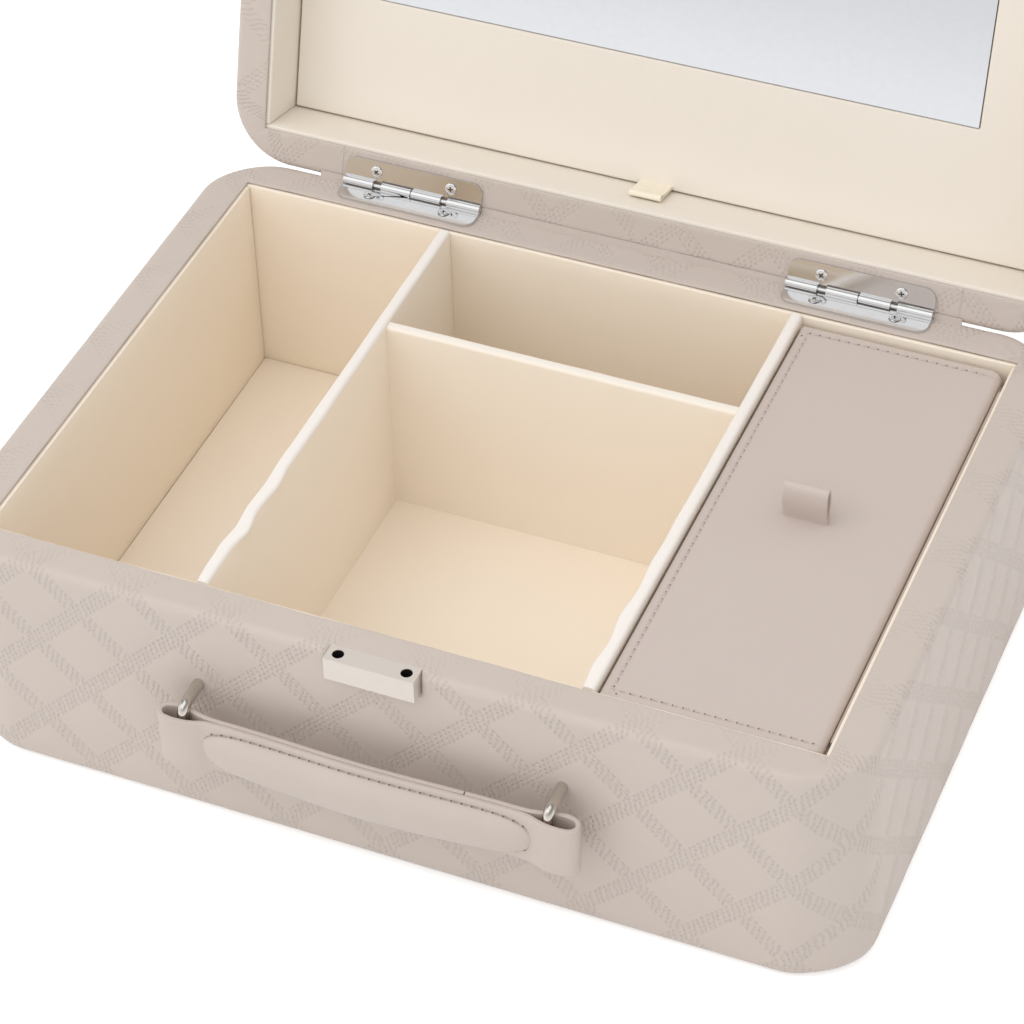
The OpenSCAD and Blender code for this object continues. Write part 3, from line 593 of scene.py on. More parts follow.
walk = walk_round(OUT_W, OUT_D, CORNER_R)
print("walk:", len(walk[0]), "steps over", round(walk[3] / MM), "mm")


# %% [markdown]
# ## The section of a cover
# A section is a chain of lines and arcs. Each point keeps its own distance along the skin, which is what
# the quilt is drawn on, and a strength, because the embossing fades where the skin turns over an edge. The
# outside of the case has round corners and its opening has square ones, so the section is stretched towards
# the diagonal on its way in.

# %% The section
class Section:
    def __init__(self, x, z, v, strength):
        self.rows = [(x, z, v, strength)]

    def line(self, x, z, strength, step=None):
        x0, z0, v0, s0 = self.rows[-1]
        length = math.dist((x0, z0), (x, z))
        count = max(1, round(length / (step or STEP)))
        for i in range(1, count + 1):
            t = i / count
            self.rows.append((x0 + (x - x0) * t, z0 + (z - z0) * t, v0 - length * t, s0 + (strength - s0) * t))
        return self

    def arc(self, cx, cz, radius, start, end, strength, step=None):
        _, _, v0, s0 = self.rows[-1]
        length = abs(math.radians(end - start)) * radius
        count = max(4, round(length / (step or STEP * 0.8)))
        for i in range(1, count + 1):
            t = i / count
            a = math.radians(start + (end - start) * t)
            self.rows.append((cx + radius * math.cos(a), cz + radius * math.sin(a),
                              v0 - length * t, s0 + (strength - s0) * t))
        return self


def carry_section(section, near_rim, closed=True):
    """Points, faces, quilt map, place in the quilt and strength of a section carried round the walk."""
    centres, outward, gone, around = walk
    rows = np.array(section.rows)
    n, m = len(gone), len(rows)
    points = np.zeros((n, m, 3))
    # towards the opening the round corner turns into a square one
    x = rows[None, :, 0]
    inner, outer = WELL_R - LIP_REACH, CORNER_R - RIM_R
    stretch = 1 / np.abs(outward).max(1)[:, None]
    gone_out = np.clip((x - inner) / (outer - inner), 0, 1)
    squared = np.minimum(x, inner) * stretch + gone_out * (outer - inner * stretch) + np.maximum(x - outer, 0)
    reach = np.where(near_rim(rows[None, :, 1]), squared, x)
    points[:, :, :2] = centres[:, None, :] + outward[:, None, :] * reach[:, :, None]
    points[:, :, 2] = rows[None, :, 1]
    here = np.arange(n * m).reshape(n, m)
    ahead = np.roll(here, -1, 0)
    u0, u1 = gone, np.append(gone[1:], gone[0] + around)
    faces, uv = [], []
    for j in range(m if closed else m - 1):
        k = (j + 1) % m
        faces.append(np.stack([here[:, j], ahead[:, j], ahead[:, k], here[:, k]], 1))
        v0, v1 = rows[j, 2], rows[k, 2]
        corners = ((u0, v0), (u1, v0), (u1, v1), (u0, v1))
        uv.append(np.stack([np.stack([u, np.full(n, v)], 1) for u, v in corners], 1))
    faces = np.concatenate(faces)
    uv = np.concatenate(uv).reshape(-1, 2)
    return points.reshape(-1, 3), faces, uv, np.repeat(gone, m), np.tile(rows[:, 2], n), np.tile(rows[:, 3], n)


# %% [markdown]
# ## Puffing the diamonds
# The padding behind the skin swells between the bands. That is a rule on the quilt's two coordinates, so a
# geometry tree applies it: it reads the coordinates, finds the distance to the bands, and moves each point
# along its normal. The inputs are the real sizes, so another quilt is only a matter of other numbers.

# %% The padding tree
def start_tree(name, sizes, others=None):
    """A geometry tree and its inputs: geometry, sizes with their defaults, others by kind, and a material."""
    tree = bpy.data.node_groups.new(name, "GeometryNodeTree")
    kinds = {"Geometry": "Geometry", **{size: "Float" for size in sizes}, **(others or {}), "Skin": "Material"}
    for title, kind in kinds.items():
        socket = tree.interface.new_socket(title, in_out="INPUT", socket_type=f"NodeSocket{kind}")
        if title in sizes:
            socket.default_value = sizes[title]
    tree.interface.new_socket("Geometry", in_out="OUTPUT", socket_type="NodeSocketGeometry")
    given = tree.nodes.new("NodeGroupInput")
    return tree, {title: Knot(tree, given.outputs[title]) for title in kinds}


def finish_tree(tree, geometry, skin):
    """Every tree ends the same way: real geometry, with its material."""
    real = add_node(tree, "GeometryNodeRealizeInstances", inputs={0: geometry})
    dressed = add_node(tree, "GeometryNodeSetMaterial", inputs={"Geometry": real, "Material": skin})
    add_node(tree, "NodeGroupOutput", inputs={"Geometry": dressed})
    return tree


def padding_tree():
    tree, given = start_tree("quilt padding", {"Puff Height": 0.42, "Edge Width": 2.4, "Band Half": 2.6})

    def stored(name):
        return add_node(tree, "GeometryNodeInputNamedAttribute", {"data_type": "FLOAT"}, {"Name": name})

    def swell(distance):
        past = (abs(distance) - given["Band Half"]).calc("MAXIMUM", 0.0)
        return 1 - (past / given["Edge Width"] * -1).calc("EXPONENT")

    down, up = band_distances(stored("quilt_u"), stored("quilt_v"))
    rise = (swell(down) * swell(up) - 0.45) * given["Puff Height"] * stored("padding") * MM
    move = add_node(tree, "ShaderNodeVectorMath", {"operation": "SCALE"},
                    {0: add_node(tree, "GeometryNodeInputNormal"), "Scale": rise})
    moved = add_node(tree, "GeometryNodeSetPosition", inputs={"Geometry": given["Geometry"], "Offset": move})
    return finish_tree(tree, moved, given["Skin"])


quilt_padding = padding_tree()


def set_inputs(piece, tree, **given):
    """Adds a tree to a piece and sets its inputs by identifier."""
    modifier = piece.modifiers.new(tree.name, "NODES")
    modifier.node_group = tree
    by_name = {s.name: s.identifier for s in tree.interface.items_tree
               if getattr(s, "in_out", "") == "INPUT"}
    for name, value in given.items():
        modifier[by_name[name.replace("_", " ")]] = value


def pad_out(piece, skin):
    set_inputs(piece, quilt_padding, Skin=skin)
    return bake_modifiers(piece)


# %% [markdown]
# ## Gathers and dents
# A skin pulled over a square inner corner has to gather, so the rim has small folds there. It is also held
# down where something is fixed through it: round the staples and the lock.

# %% Gathers and dents
def gather_corners(points, sign):
    """Fine folds that start at the four inner corners. sign is +1 on the base and -1 on the closed lid."""
    corner = np.array([WELL_X - LIP_REACH, OUT_D / 2 - CORNER_R + WELL_R - LIP_REACH])
    over = np.abs(points[:, :2]) - corner
    away = np.hypot(over[:, 0], over[:, 1])
    angle = np.arctan2(over[:, 1], over[:, 0])
    which = (points[:, 0] > 0) * 2 + (points[:, 1] > 0)
    depth = np.array([0.16, 0.12, 0.14, 0.26])[which] * MM
    fold = np.sin(angle * 11 + which * 2.1) + 0.6 * np.sin(angle * 19 + which)
    near = (away / (2 * MM)) * np.exp(1 - away / (2.4 * MM))
    on_rim = (points[:, 2] - rim_level[sign]) * sign > -0.6 * MM
    lift = depth * fold * np.clip(near, 0, 1) - 0.25 * MM * np.exp(-away / (1.6 * MM))
    points[:, 2] += sign * np.where(on_rim, lift, 0)
    return points


rim_level = {1: CROWN_Z, -1: LID_RIM_Z}


def dent(points, centre, radius, depth, direction):
    """Presses the skin in round a point."""
    away = np.linalg.norm(points - np.array(centre), axis=1)
    press = depth * np.exp(-(away / radius) ** 2)
    return points + press[:, None] * np.array(direction)


def settle(points, sign):
    """The slow unevenness of a skin over foam, on the rim only."""
    on_rim = (points[:, 2] - rim_level[sign]) * sign > -1.2 * MM
    shift = np.array([noise.noise(Vector((x * 55, y * 55, 4.0))) if rim else 0
                      for (x, y, z), rim in zip(points, on_rim)])
    points[:, 2] += shift * 0.22 * MM
    return points


# %% [markdown]
# ## The cover of the base
# It starts tucked down beside the lining, rolls over the padded rim, falls down the wall and turns in under
# the bottom. The hidden side follows the boards, so the cover is one closed skin with real thickness.

# %% Cover of the base
DENT_R, DENT_DEEP = 5 * MM, 0.7 * MM
# how much fuller the padding is than the boards, in millimetres, and how much more at the bottom
SIDE_FULLER, SIDE_LOW = 0.9, 2.4
BACK_FULLER, FRONT_FULLER, END_LOW = 0.9, 0.1, 0.9


def base_section():
    top, low = CROWN_Z, BOTTOM_Z
    section = Section(WELL_R, top - 2.6 * MM, 13.5 * MM, 0.0)
    section.line(WELL_R, top - LIP_T, 0.0)
    section.line(WELL_R - LIP_REACH + LIP_T / 2, top - LIP_T, 0.0)
    section.arc(WELL_R - LIP_REACH + LIP_T / 2, top - LIP_T / 2, LIP_T / 2, 270, 90, 0.35, 0.25 * MM)
    section.line(CORNER_R - RIM_R, top, 0.75)
    section.arc(CORNER_R - RIM_R, top - RIM_R, RIM_R, 90, 0, 1.0)
    section.line(CORNER_R, low + EDGE_R, 1.0)
    section.arc(CORNER_R - EDGE_R, low + EDGE_R, EDGE_R, 0, -90, 0.0)
    section.line(CORNER_R - 14 * MM, low, 0.0, 4 * MM)
    section.line(CORNER_R - 14 * MM, 2 * MM, 0.0, 2 * MM)
    section.line(CORNER_R - COVER_T, 2 * MM, 0.0, 12 * MM)
    section.line(CORNER_R - COVER_T, top - COVER_T, 0.0, 90 * MM)
    section.line(WELL_R, top - COVER_T, 0.0, 12 * MM)
    wall = next(r for r in section.rows if r[0] >= CORNER_R - 1e-9)
    shift = (wall[1] - RIM_Z) - wall[2]
    section.rows = [(x, z, v + shift, s) for x, z, v, s in section.rows]
    return section


def fill_out(points):
    """The padding is a little fuller than the boards, most of all at the sides and low down."""
    low = np.clip(1 - points[:, 2] / CROWN_Z, 0, 1)
    x, y = points[:, 0].copy(), points[:, 1].copy()
    near_side = np.clip((np.abs(x) - OUT_W / 2 + 12 * MM) / (10 * MM), 0, 1)
    near_end = np.clip((np.abs(y) - OUT_D / 2 + 12 * MM) / (10 * MM), 0, 1)
    points[:, 0] += np.sign(x) * near_side * (SIDE_FULLER + SIDE_LOW * low) * MM
    points[:, 1] += np.sign(y) * near_end * (np.where(y > 0, BACK_FULLER, FRONT_FULLER) + END_LOW * low) * MM
    return points


def padding_of(points, strength, top):
    """The padding is pulled thin at the bottom and at the rim."""
    inside = np.minimum(points[:, 2], top - points[:, 2])
    return strength * np.clip(inside / (12 * MM), 0.12, 1)


def quilt_skin(name, skin, padding, material):
    """A skin whose points keep their place in the quilt, for the padding tree and the embossing."""
    points, faces, uv, walked, across, strength = skin
    return make_piece(name, points, faces.tolist(), material, uv,
                      {"quilt_u": walked / MM, "quilt_v": across / MM, "quilt_strength": strength,
                       "padding": padding})


points, faces, uv, walked, across, strength = carry_section(base_section(), lambda z: z > CROWN_Z / 2)
points = fill_out(settle(gather_corners(points, 1), 1))
for node in ("staple_left", "staple_right"):
    low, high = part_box(node)
    for z in (low.z, high.z):
        points = dent(points, ((low.x + high.x) / 2, -OUT_D / 2, z), DENT_R, DENT_DEEP, (0, 1, 0))
# the lock block stands in a seat that is cut out of the skin
lock_low, lock_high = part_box("lock_block")
seat = (np.abs(points[:, 0]) < lock_high.x) & (points[:, 1] < lock_high.y) & (points[:, 2] > lock_low.z)
points[seat, 1] = lock_high.y
strength = strength * np.clip((walk[3] / 2 - np.abs(walked)) / (1.5 * MM), 0, 1) * ~seat
base_skin = quilt_skin("base_cover_quilted", (points, faces, uv, walked, across, strength),
                       padding_of(points, strength, CROWN_Z), quilted)
pad_out(base_skin, quilted)
stand_for(base_skin, "base_cover")
print("base cover:", len(base_skin.data.polygons), "faces")

# %% [markdown]
# ## The cover of the lid
# The lid's cover is the same section upside down, with a quilted top panel. The top is a grid inside the
# corner centres, and rings of the walk join it to the rounded edge.

# %% Cover of the lid
def lid_section():
    low = LID_RIM_Z
    section = Section(WELL_R, low + 2.6 * MM, 13.5 * MM, 0.0)
    section.line(WELL_R, low + LIP_T, 0.0)
    section.line(WELL_R - LIP_REACH + LIP_T / 2, low + LIP_T, 0.0)
    section.arc(WELL_R - LIP_REACH + LIP_T / 2, low + LIP_T / 2, LIP_T / 2, 90, 270, 0.6, 0.25 * MM)
    section.line(CORNER_R - RIM_R, low, 0.85)
    section.arc(CORNER_R - RIM_R, low + RIM_R, RIM_R, -90, 0, 1.0)
    section.line(CORNER_R, LID_H - EDGE_R, 1.0)
    section.arc(CORNER_R - EDGE_R, LID_H - EDGE_R, EDGE_R, 0, 45, 0.0)
    section.arc(CORNER_R - EDGE_R, LID_H - EDGE_R, EDGE_R, 45, 90, 1.0)
    section.line(0, LID_H, 1.0)
    return section


def add_skin(skin, more):
    """Two skins as one: points, faces, quilt map, two places in the quilt, and strength."""
    return [np.concatenate([a, b + len(skin[0]) if i == 1 else b]) for i, (a, b) in enumerate(zip(skin, more))]


def lid_cover_mesh():
    section = lid_section()
    wall = next(i for i, r in enumerate(section.rows) if r[0] >= CORNER_R - 1e-9)
    shift = -section.rows[wall][2] - 21 * MM
    section.rows = [(x, z, -(v + shift), s) for x, z, v, s in section.rows]
    top_from = next(i for i, r in enumerate(section.rows) if r[1] > LID_TURN_Z)
    points, faces, uv, walked, across, strength = carry_section(section, lambda z: z < LID_H / 2, closed=False)
    m = len(section.rows)
    n = len(walked) // m
    # the top panel is drawn on its own plan, from the turn of the edge inwards
    grid = np.arange(n * m).reshape(n, m)
    top = grid[:, top_from:].ravel()
    walked[top], across[top] = points[top, 0], points[top, 1]
    on_top = np.isin(faces, grid[:, top_from:]).all(1)
    plan = points[faces][..., :2].reshape(-1, 2)
    uv[np.repeat(on_top, 4)] = plan[np.repeat(on_top, 4)]
    # the inside of the cover is a plain second skin that follows the boards
    inside = Section(WELL_R, 2.3 * MM, 0, 0).line(WELL_R, 2.7 * MM, 0)
    inside.line(CORNER_R - COVER_T, 2.7 * MM, 0, 12 * MM)
    inside.line(CORNER_R - COVER_T, LID_H - COVER_T, 0, 60 * MM).line(0, LID_H - COVER_T, 0, 60 * MM)
    more = list(carry_section(inside, lambda z: z < LID_H / 2, closed=False))
    more[1], more[3] = more[1][:, ::-1], more[3] * 0
    return add_skin((points, faces, uv, walked, across, strength), more)


def fill_plan(level):
    """A grid that closes a flat top inside the corner centres."""
    half_w, half_d = OUT_W / 2 - CORNER_R, OUT_D / 2 - CORNER_R
    nx, ny = round(2 * half_w / STEP), round(2 * half_d / STEP)
    xs, ys = np.linspace(-half_w, half_w, nx + 1), np.linspace(-half_d, half_d, ny + 1)
    gx, gy = np.meshgrid(xs, ys, indexing="ij")
    grid = np.stack([gx, gy, np.full_like(gx, level)], -1).reshape(-1, 3)
    index = np.arange(len(grid)).reshape(nx + 1, ny + 1)
    return grid, grid_faces(index)


skin = lid_cover_mesh()
skin[0] = settle(gather_corners(skin[0], -1), -1)
for level, facing, shown in ((LID_H, 1, 1.0), (LID_H - COVER_T, -1, 0.0)):
    grid, quads = fill_plan(level)
    quads = quads[:, ::facing]
    plan = grid[quads][..., :2].reshape(-1, 2)
    skin = add_skin(skin, (grid, quads, plan, grid[:, 0], grid[:, 1], np.full(len(grid), shown)))
points, strength = skin[0], skin[-1]
RIGHT_SEAM = walk[3] / 2 - 117 * MM
LEFT_SEAM = -(walk[3] / 2 - 110 * MM)
quilted_lid = quilted_leatherette("quilted leatherette of the lid", (RIGHT_SEAM / MM, LEFT_SEAM / MM))
padding = np.where(points[:, 2] > LID_TURN_Z, strength, padding_of(points, strength, 1.0))
lid_skin = quilt_skin("lid_cover_quilted", skin, padding, quilted_lid)
open_edges = weld(lid_skin.data, 10 * WELD)
face_outwards(lid_skin.data)
pad_out(lid_skin, quilted_lid)
lid_skin.data.transform(ON_LID)
stand_for(lid_skin, "lid_cover")
print("lid cover:", len(lid_skin.data.polygons), "faces,", open_edges, "open edges")

# %% [markdown]
# ## Lining panels
# The lining is card wrapped in a cream sheet, so its edges are softly round and its faces are not quite
# flat. A box whose surface points are pulled to a distance from a smaller box inside it has such edges.

# %% A wrapped card
def wrapped_card(name, low, high, radius, material, spacing=6 * MM, uneven=0.0, seed=1.0, place=None):
    low, high = np.array(low, float), np.array(high, float)
    radius = min(radius, *((high - low) * 0.49))
    steps = []
    for a, b in zip(low, high):
        inner = np.linspace(a + radius, b - radius, max(2, round((b - a) / spacing) + 1))
        steps.append(np.concatenate([[a, a + 0.4 * radius], inner, [b - 0.4 * radius, b]]))
    points, faces = [], []
    for axis in range(3):
        s, t = [i for i in range(3) if i != axis]
        for side, value in ((0, low[axis]), (1, high[axis])):
            gs, gt = np.meshgrid(steps[s], steps[t], indexing="ij")
            grid = np.zeros((gs.size, 3))
            grid[:, s], grid[:, t], grid[:, axis] = gs.ravel(), gt.ravel(), value
            index = np.arange(gs.size).reshape(gs.shape) + sum(len(p) for p in points)
            quads = grid_faces(index)
            if (side == 0) != (axis == 1):
                quads = quads[:, ::-1]
            points.append(grid)
            faces.append(quads)
    points, faces = np.concatenate(points), np.concatenate(faces)
    core = np.clip(points, low + radius, high - radius)
    out = points - core
    length = np.linalg.norm(out, axis=1, keepdims=True)
    normal = out / np.maximum(length, 1e-9)
    points = core + normal * radius
    if uneven:
        shift = np.array([noise.noise(Vector(p) * 28 + Vector((seed, seed, 0))) for p in points])
        points = points + normal * (shift * uneven - uneven)[:, None]
    piece = make_piece(name, points, faces.tolist(), material)
    weld(piece.data, WELD)
    face_outwards(piece.data)
    if place is not None:
        piece.data.transform(place)
    return piece


def dress_card(node, material, radius, uneven=0.12 * MM, seed=1.0):
    """A wrapped card in the place of an upright or flat node of the base."""
    low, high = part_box(node)
    high.z = min(high.z, RIM_Z - LINING_DROP)
    piece = wrapped_card(node + "_wrapped", low, high, radius, material, uneven=uneven, seed=seed)
    stand_for(piece, node)
    return piece


for seed, node in enumerate(("lining_front", "lining_back", "lining_left", "lining_right")):
    dress_card(node, cream, 0.45 * MM, seed=seed * 3.1)
dress_card("lining_floor", cream, 0.25 * MM, uneven=0.05 * MM, seed=9.0)

# %% [markdown]
# ## Lining of the lid
# The same cards, drawn on the closed lid and put into place with it.

# %% Lining of the lid
INSIDE_W = lining_low.x * 2
INSIDE_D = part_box("lining_right")[1].y * 2
LID_OPEN_H = 35 * MM
LINING_T = 2 * MM
half_w, half_d = INSIDE_W / 2, INSIDE_D / 2
lid_cards = {"lid_lining_front": (-WELL_X, WELL_X, -half_d - LINING_T, -half_d),
             "lid_lining_back": (-WELL_X, WELL_X, half_d, half_d + LINING_T),
             "lid_lining_left": (-WELL_X, -half_w, -half_d, half_d),
             "lid_lining_right": (half_w, WELL_X, -half_d, half_d)}
for seed, (node, (x0, x1, y0, y1)) in enumerate(lid_cards.items()):
    piece = wrapped_card(node + "_wrapped", (x0, y0, LINING_DROP), (x1, y1, LID_OPEN_H), 0.5 * MM, cream_panel,
                         uneven=0.06 * MM, seed=20 + seed, place=ON_LID)
    stand_for(piece, node)

# %% [markdown]
# ## Dividers
# The wrap of the two long dividers has slack near the front, which shows as a few soft bulges of the pale
# edge to one side. The divider is an upright section carried along. Each bulge is a bell curve with its own
# place, length and size, so it can be put where the photograph shows it.

# %% Dividers
def divider(node, bulges=(), seed=1.0):
    """bulges: distance from the front, length, how far the left and the right side move, all in millimetres."""
    low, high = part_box(node)
    long_way = 1 if high.y - low.y > high.x - low.x else 0
    half_t = (high[1 - long_way] - low[1 - long_way]) / 2
    middle = (high[1 - long_way] + low[1 - long_way]) / 2
    length = high[long_way] - low[long_way]
    stations = low[long_way] + np.linspace(0, length, round(length / (1.2 * MM)) + 1)
    r = 1.2 * MM
    heights = np.append(np.linspace(low.z, high.z - 12 * MM, 5), np.linspace(high.z - 10 * MM, high.z - r, 7))
    left_side = [(-half_t, z) for z in heights] + arc_points(r - half_t, high.z - r, r, 180, 90, 6)[1:]
    section = left_side + [(-x, z) for x, z in left_side[::-1]]
    points = []
    for s in stations:
        front = (s - low[long_way]) / MM
        left, right = (sum(bulge[side] * math.exp(-((front - bulge[0]) / bulge[1]) ** 2) for bulge in bulges)
                       for side in (2, 3))
        ends = min(1.0, front / 2, (length / MM - front) / 2)
        sway = noise.noise(Vector((s * 60, seed, 0))) * 0.16 * ends
        for x, z in section:
            upper = min(1.0, max(0.0, 1 - (high.z - z) / (8 * MM)))
            move = (left if x < 0 else right) * ends * upper ** 1.5 + sway * upper
            p = [0, 0, z - 0.12 * MM * abs(left + right) * upper]
            p[long_way] = s
            p[1 - long_way] = middle + x + move * MM
            points.append(p)
    faces = tube_faces(len(stations), len(section))
    piece = sharpen(make_piece(node + "_wrapped", points, faces, divider_wrap), 50)
    stand_for(piece, node)
    return piece


divider("divider_left", ((8, 5, -0.5, -0.2), (18, 6, -0.9, -0.5), (27, 6, 0.3, 1.5), (38, 6, -0.5, -0.2),
                         (50, 7, 0.1, 1.1), (64, 8, -0.4, 0.0), (86, 10, -0.2, 0.3)), 2.0)
divider("divider_right", ((10, 6, -0.9, 0), (22, 6, 0.3, 0), (33, 7, -1.0, 0), (47, 7, 0.25, 0), (60, 8, -0.5, 0),
                          (80, 8, -0.3, 0)), 5.0)
divider("divider_cross")

# %% [markdown]
# ## Metal pieces
# The hinge leaves, their pins and the lock keep the construction's own shape, with eased edges.

# %% Hinges and lock
for side in ("left", "right"):
    for half in ("base", "lid"):
        eased_copy(f"hinge_{side}_{half}_leaf", f"hinge_{side}_{half}_leaf_plated", bright_metal, 0.16 * MM)
pins = eased_copy("hinge_pins", "hinge_pins_plated", bright_metal, 0.12 * MM)
leaf_boxes = [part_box(f"hinge_{side}_base_leaf") for side in ("left", "right")]
for vertex in pins.data.vertices:
    low, high = leaf_boxes[vertex.co.x > 0]
    vertex.co.x = min(max(vertex.co.x, low.x + 0.1 * MM), high.x - 0.1 * MM)
eased_copy("lock_block", "lock_block_satin", lock_metal, 0.22 * MM)
eased_copy("lock_keeper", "lock_keeper_satin", lock_metal, 0.22 * MM)

# %% [markdown]
# ## One screw, set many times
# The eight screws of the hinges are one pan head with a cross recess. A geometry tree sets it on marked
# points, lines it up with the way each point faces, and turns each one a little differently, because a real
# screw stops where it is tight. The seed fixes those turns.

# %% Screws
def screw_head_mesh(radius, rise):
    """A pan head with a cross pressed in. Two more rings carry its side down below the surface."""
    rings, spokes = 26, 96
    points = []
    for i in range(rings + 3):
        r = radius * min(i, rings) / rings
        groove = 0.12 * math.exp(-((r - 0.62 * radius) / (0.05 * radius)) ** 2)
        crown = rise * (1 - 0.55 * (r / radius) ** 4 - groove)
        for j in range(spokes):
            x, y = (r * part(2 * math.pi * j / spokes) for part in (math.cos, math.sin))
            slot_x = min(abs(x), abs(y)) / (0.12 * radius)
            slot_l = max(abs(x), abs(y)) / (0.50 * radius)
            cross = 0.75 * rise * max(0.0, 1 - slot_x ** 4) * max(0.0, 1 - slot_l ** 6)
            points.append((x, y, (crown - cross, 0.12 * rise, -1.0 * MM)[max(0, i - rings)]))
    faces = [(a + j, a + spokes + j, a + spokes + k, a + k) for a in range(0, (rings + 2) * spokes, spokes)
             for j, k in zip(range(spokes), [*range(1, spokes), 0])]
    faces.append(tuple(range((rings + 3) * spokes - 1, (rings + 2) * spokes - 1, -1)))
    return points, faces


def setting_tree():
    tree, given = start_tree("set heads on points", {"Most Turn": 1.2}, {"Head": "Object"})
    shape = add_node(tree, "GeometryNodeObjectInfo", inputs={"Object": given["Head"]}, out="Geometry")
    facing = add_node(tree, "GeometryNodeInputNamedAttribute", {"data_type": "FLOAT_VECTOR"}, {"Name": "facing"})
    upright = add_node(tree, "FunctionNodeAlignRotationToVector", {"axis": "Z"}, {"Vector": facing})
    chance = add_node(tree, "FunctionNodeRandomValue", {"data_type": "FLOAT"}, {"Seed": 4}, out=1)
    spin = add_node(tree, "FunctionNodeAxisAngleToRotation",
                    inputs={"Axis": (0, 0, 1), "Angle": chance * given["Most Turn"]})
    both = add_node(tree, "FunctionNodeRotateRotation", {"rotation_space": "LOCAL"}, {0: upright, 1: spin})
    put = add_node(tree, "GeometryNodeInstanceOnPoints",
                   inputs={"Points": given["Geometry"], "Instance": shape, "Rotation": both})
    return finish_tree(tree, put, given["Skin"])


def screw_finish():
    """Bright plate, with painted shade in the cross and at the foot of the head."""
    material, tree = start_finish("screw plate")
    recess_shade = add_node(tree, "ShaderNodeAttribute", {"attribute_name": "recess_shade"}, out=2)
    return end_finish(material, tint(tree, (0.76, 0.76, 0.765), (0.10, 0.09, 0.085), (recess_shade * 0.95).clamp()),
                      0.16 + recess_shade * 0.3, speckle(tree, 300.0) * 0.004, Metallic=1.0)


screw_metal = screw_finish()
setting = setting_tree()
HEAD_R, HEAD_RISE = 2.1 * MM, 0.6 * MM
FOOT_Z, CROSS_Z, CROSS_R = 0.18 * MM, 0.36 * MM, 0.62
head_points, head_faces = screw_head_mesh(HEAD_R, HEAD_RISE)
ring = [math.hypot(x, y) / HEAD_R for x, y, z in head_points]
# painted shade: points in the cross and at the foot of the head are marked to be coloured dark
recess_shade = [float(z < FOOT_Z or (r < CROSS_R and z < CROSS_Z)) for r, (x, y, z) in zip(ring, head_points)]
head = make_piece("screw_head", head_points, head_faces, screw_metal, values={"recess_shade": recess_shade})
SCREW_X, SCREW_IN = 14.2 * MM, 5.0 * MM
LEAF_TOP = 1.1 * MM


def set_screws(name, node, places, facing):
    marks = bpy.data.meshes.new(name)
    marks.from_pydata(places, [], [])
    column = marks.attributes.new("facing", "FLOAT_VECTOR", "POINT")
    column.data.foreach_set("vector", np.tile(facing, len(places)))
    piece = add_object(name, marks)
    set_inputs(piece, setting, Head=head, Most_Turn=1.2, Skin=screw_metal)
    bake_modifiers(piece)
    sharpen(piece, 40)
    stand_for(piece, node)
    print(name, len(piece.data.polygons), "faces")


flat_places = [((low.x + high.x) / 2 + sign * SCREW_X, AXIS_Y - SCREW_IN)
               for low, high in leaf_boxes for sign in (-1, 1)]
set_screws("base_hinge_screw_heads", "base_hinge_screws",
           [(x, y, CROWN_Z + LEAF_TOP) for x, y in flat_places], (0, 0, 1))
set_screws("lid_hinge_screw_heads", "lid_hinge_screws",
           [ON_LID @ Vector((x, y, RIM_Z - CROWN_Z - LEAF_TOP)) for x, y in flat_places],
           tuple(ON_LID.to_3x3() @ Vector((0, 0, -1))))
bpy.data.objects.remove(head)

# %% [markdown]
# ## Bands of leather
# A strap, a pull loop and a pull tab are the same thing: a rounded rectangle carried along a path that
# bends in one plane. The path is given by a few points, and a smooth curve is drawn through them.

# %% The band
def smooth_path(corners, spacing):
    """A curve through the given points, with even steps."""
    pts = np.array(corners, float)
    padded_pts = np.vstack([2 * pts[0] - pts[1], pts, 2 * pts[-1] - pts[-2]])
    fine = []
    for i in range(1, len(padded_pts) - 2):
        p0, p1, p2, p3 = padded_pts[i - 1:i + 3]
        for t in np.linspace(0, 1, 24, endpoint=False):
            fine.append(0.5 * ((2 * p1) + (p2 - p0) * t + (2 * p0 - 5 * p1 + 4 * p2 - p3) * t * t
                               + (3 * p1 - p0 - 3 * p2 + p3) * t ** 3))
    fine.append(pts[-1])
    fine = np.array(fine)
    gone = np.append(0, np.cumsum(np.linalg.norm(np.diff(fine, axis=0), axis=1)))
    even = np.linspace(0, gone[-1], max(2, round(gone[-1] / spacing) + 1))
    return np.stack([np.interp(even, gone, fine[:, k]) for k in range(2)], 1)


def band(name, path, thick, wide, place, material, edge=0.45 * MM, slices=10, uneven=0.0):
    """place(point in the bending plane, distance across the band) gives the point in space."""
    ahead = np.gradient(path, axis=0)
    ahead /= np.linalg.norm(ahead, axis=1, keepdims=True)
    side = np.stack([-ahead[:, 1], ahead[:, 0]], 1)
    edge = min(edge, thick * 0.49)
    flat = wide / 2 - edge
    section = []
    for cx, cz, start in ((1, 1, 0), (-1, 1, 90), (-1, -1, 180), (1, -1, 270)):
        section += arc_points(cx * (thick / 2 - edge), cz * flat, edge, start, start + 90, 5)
        if start in (90, 270):
            section += [(cx * thick / 2, z) for z in np.linspace(cz * flat, -cz * flat, slices + 1)[1:-1]]
    points = []
    for p, n in zip(path, side):
        for x, z in section:
            bump = uneven * noise.noise(Vector((p[0] * 90, p[1] * 90, z * 90))) if uneven else 0
            points.append(place(p + n * (x + bump), z))
    return sharpen(make_piece(name, points, tube_faces(len(path), len(section)), material), 60)


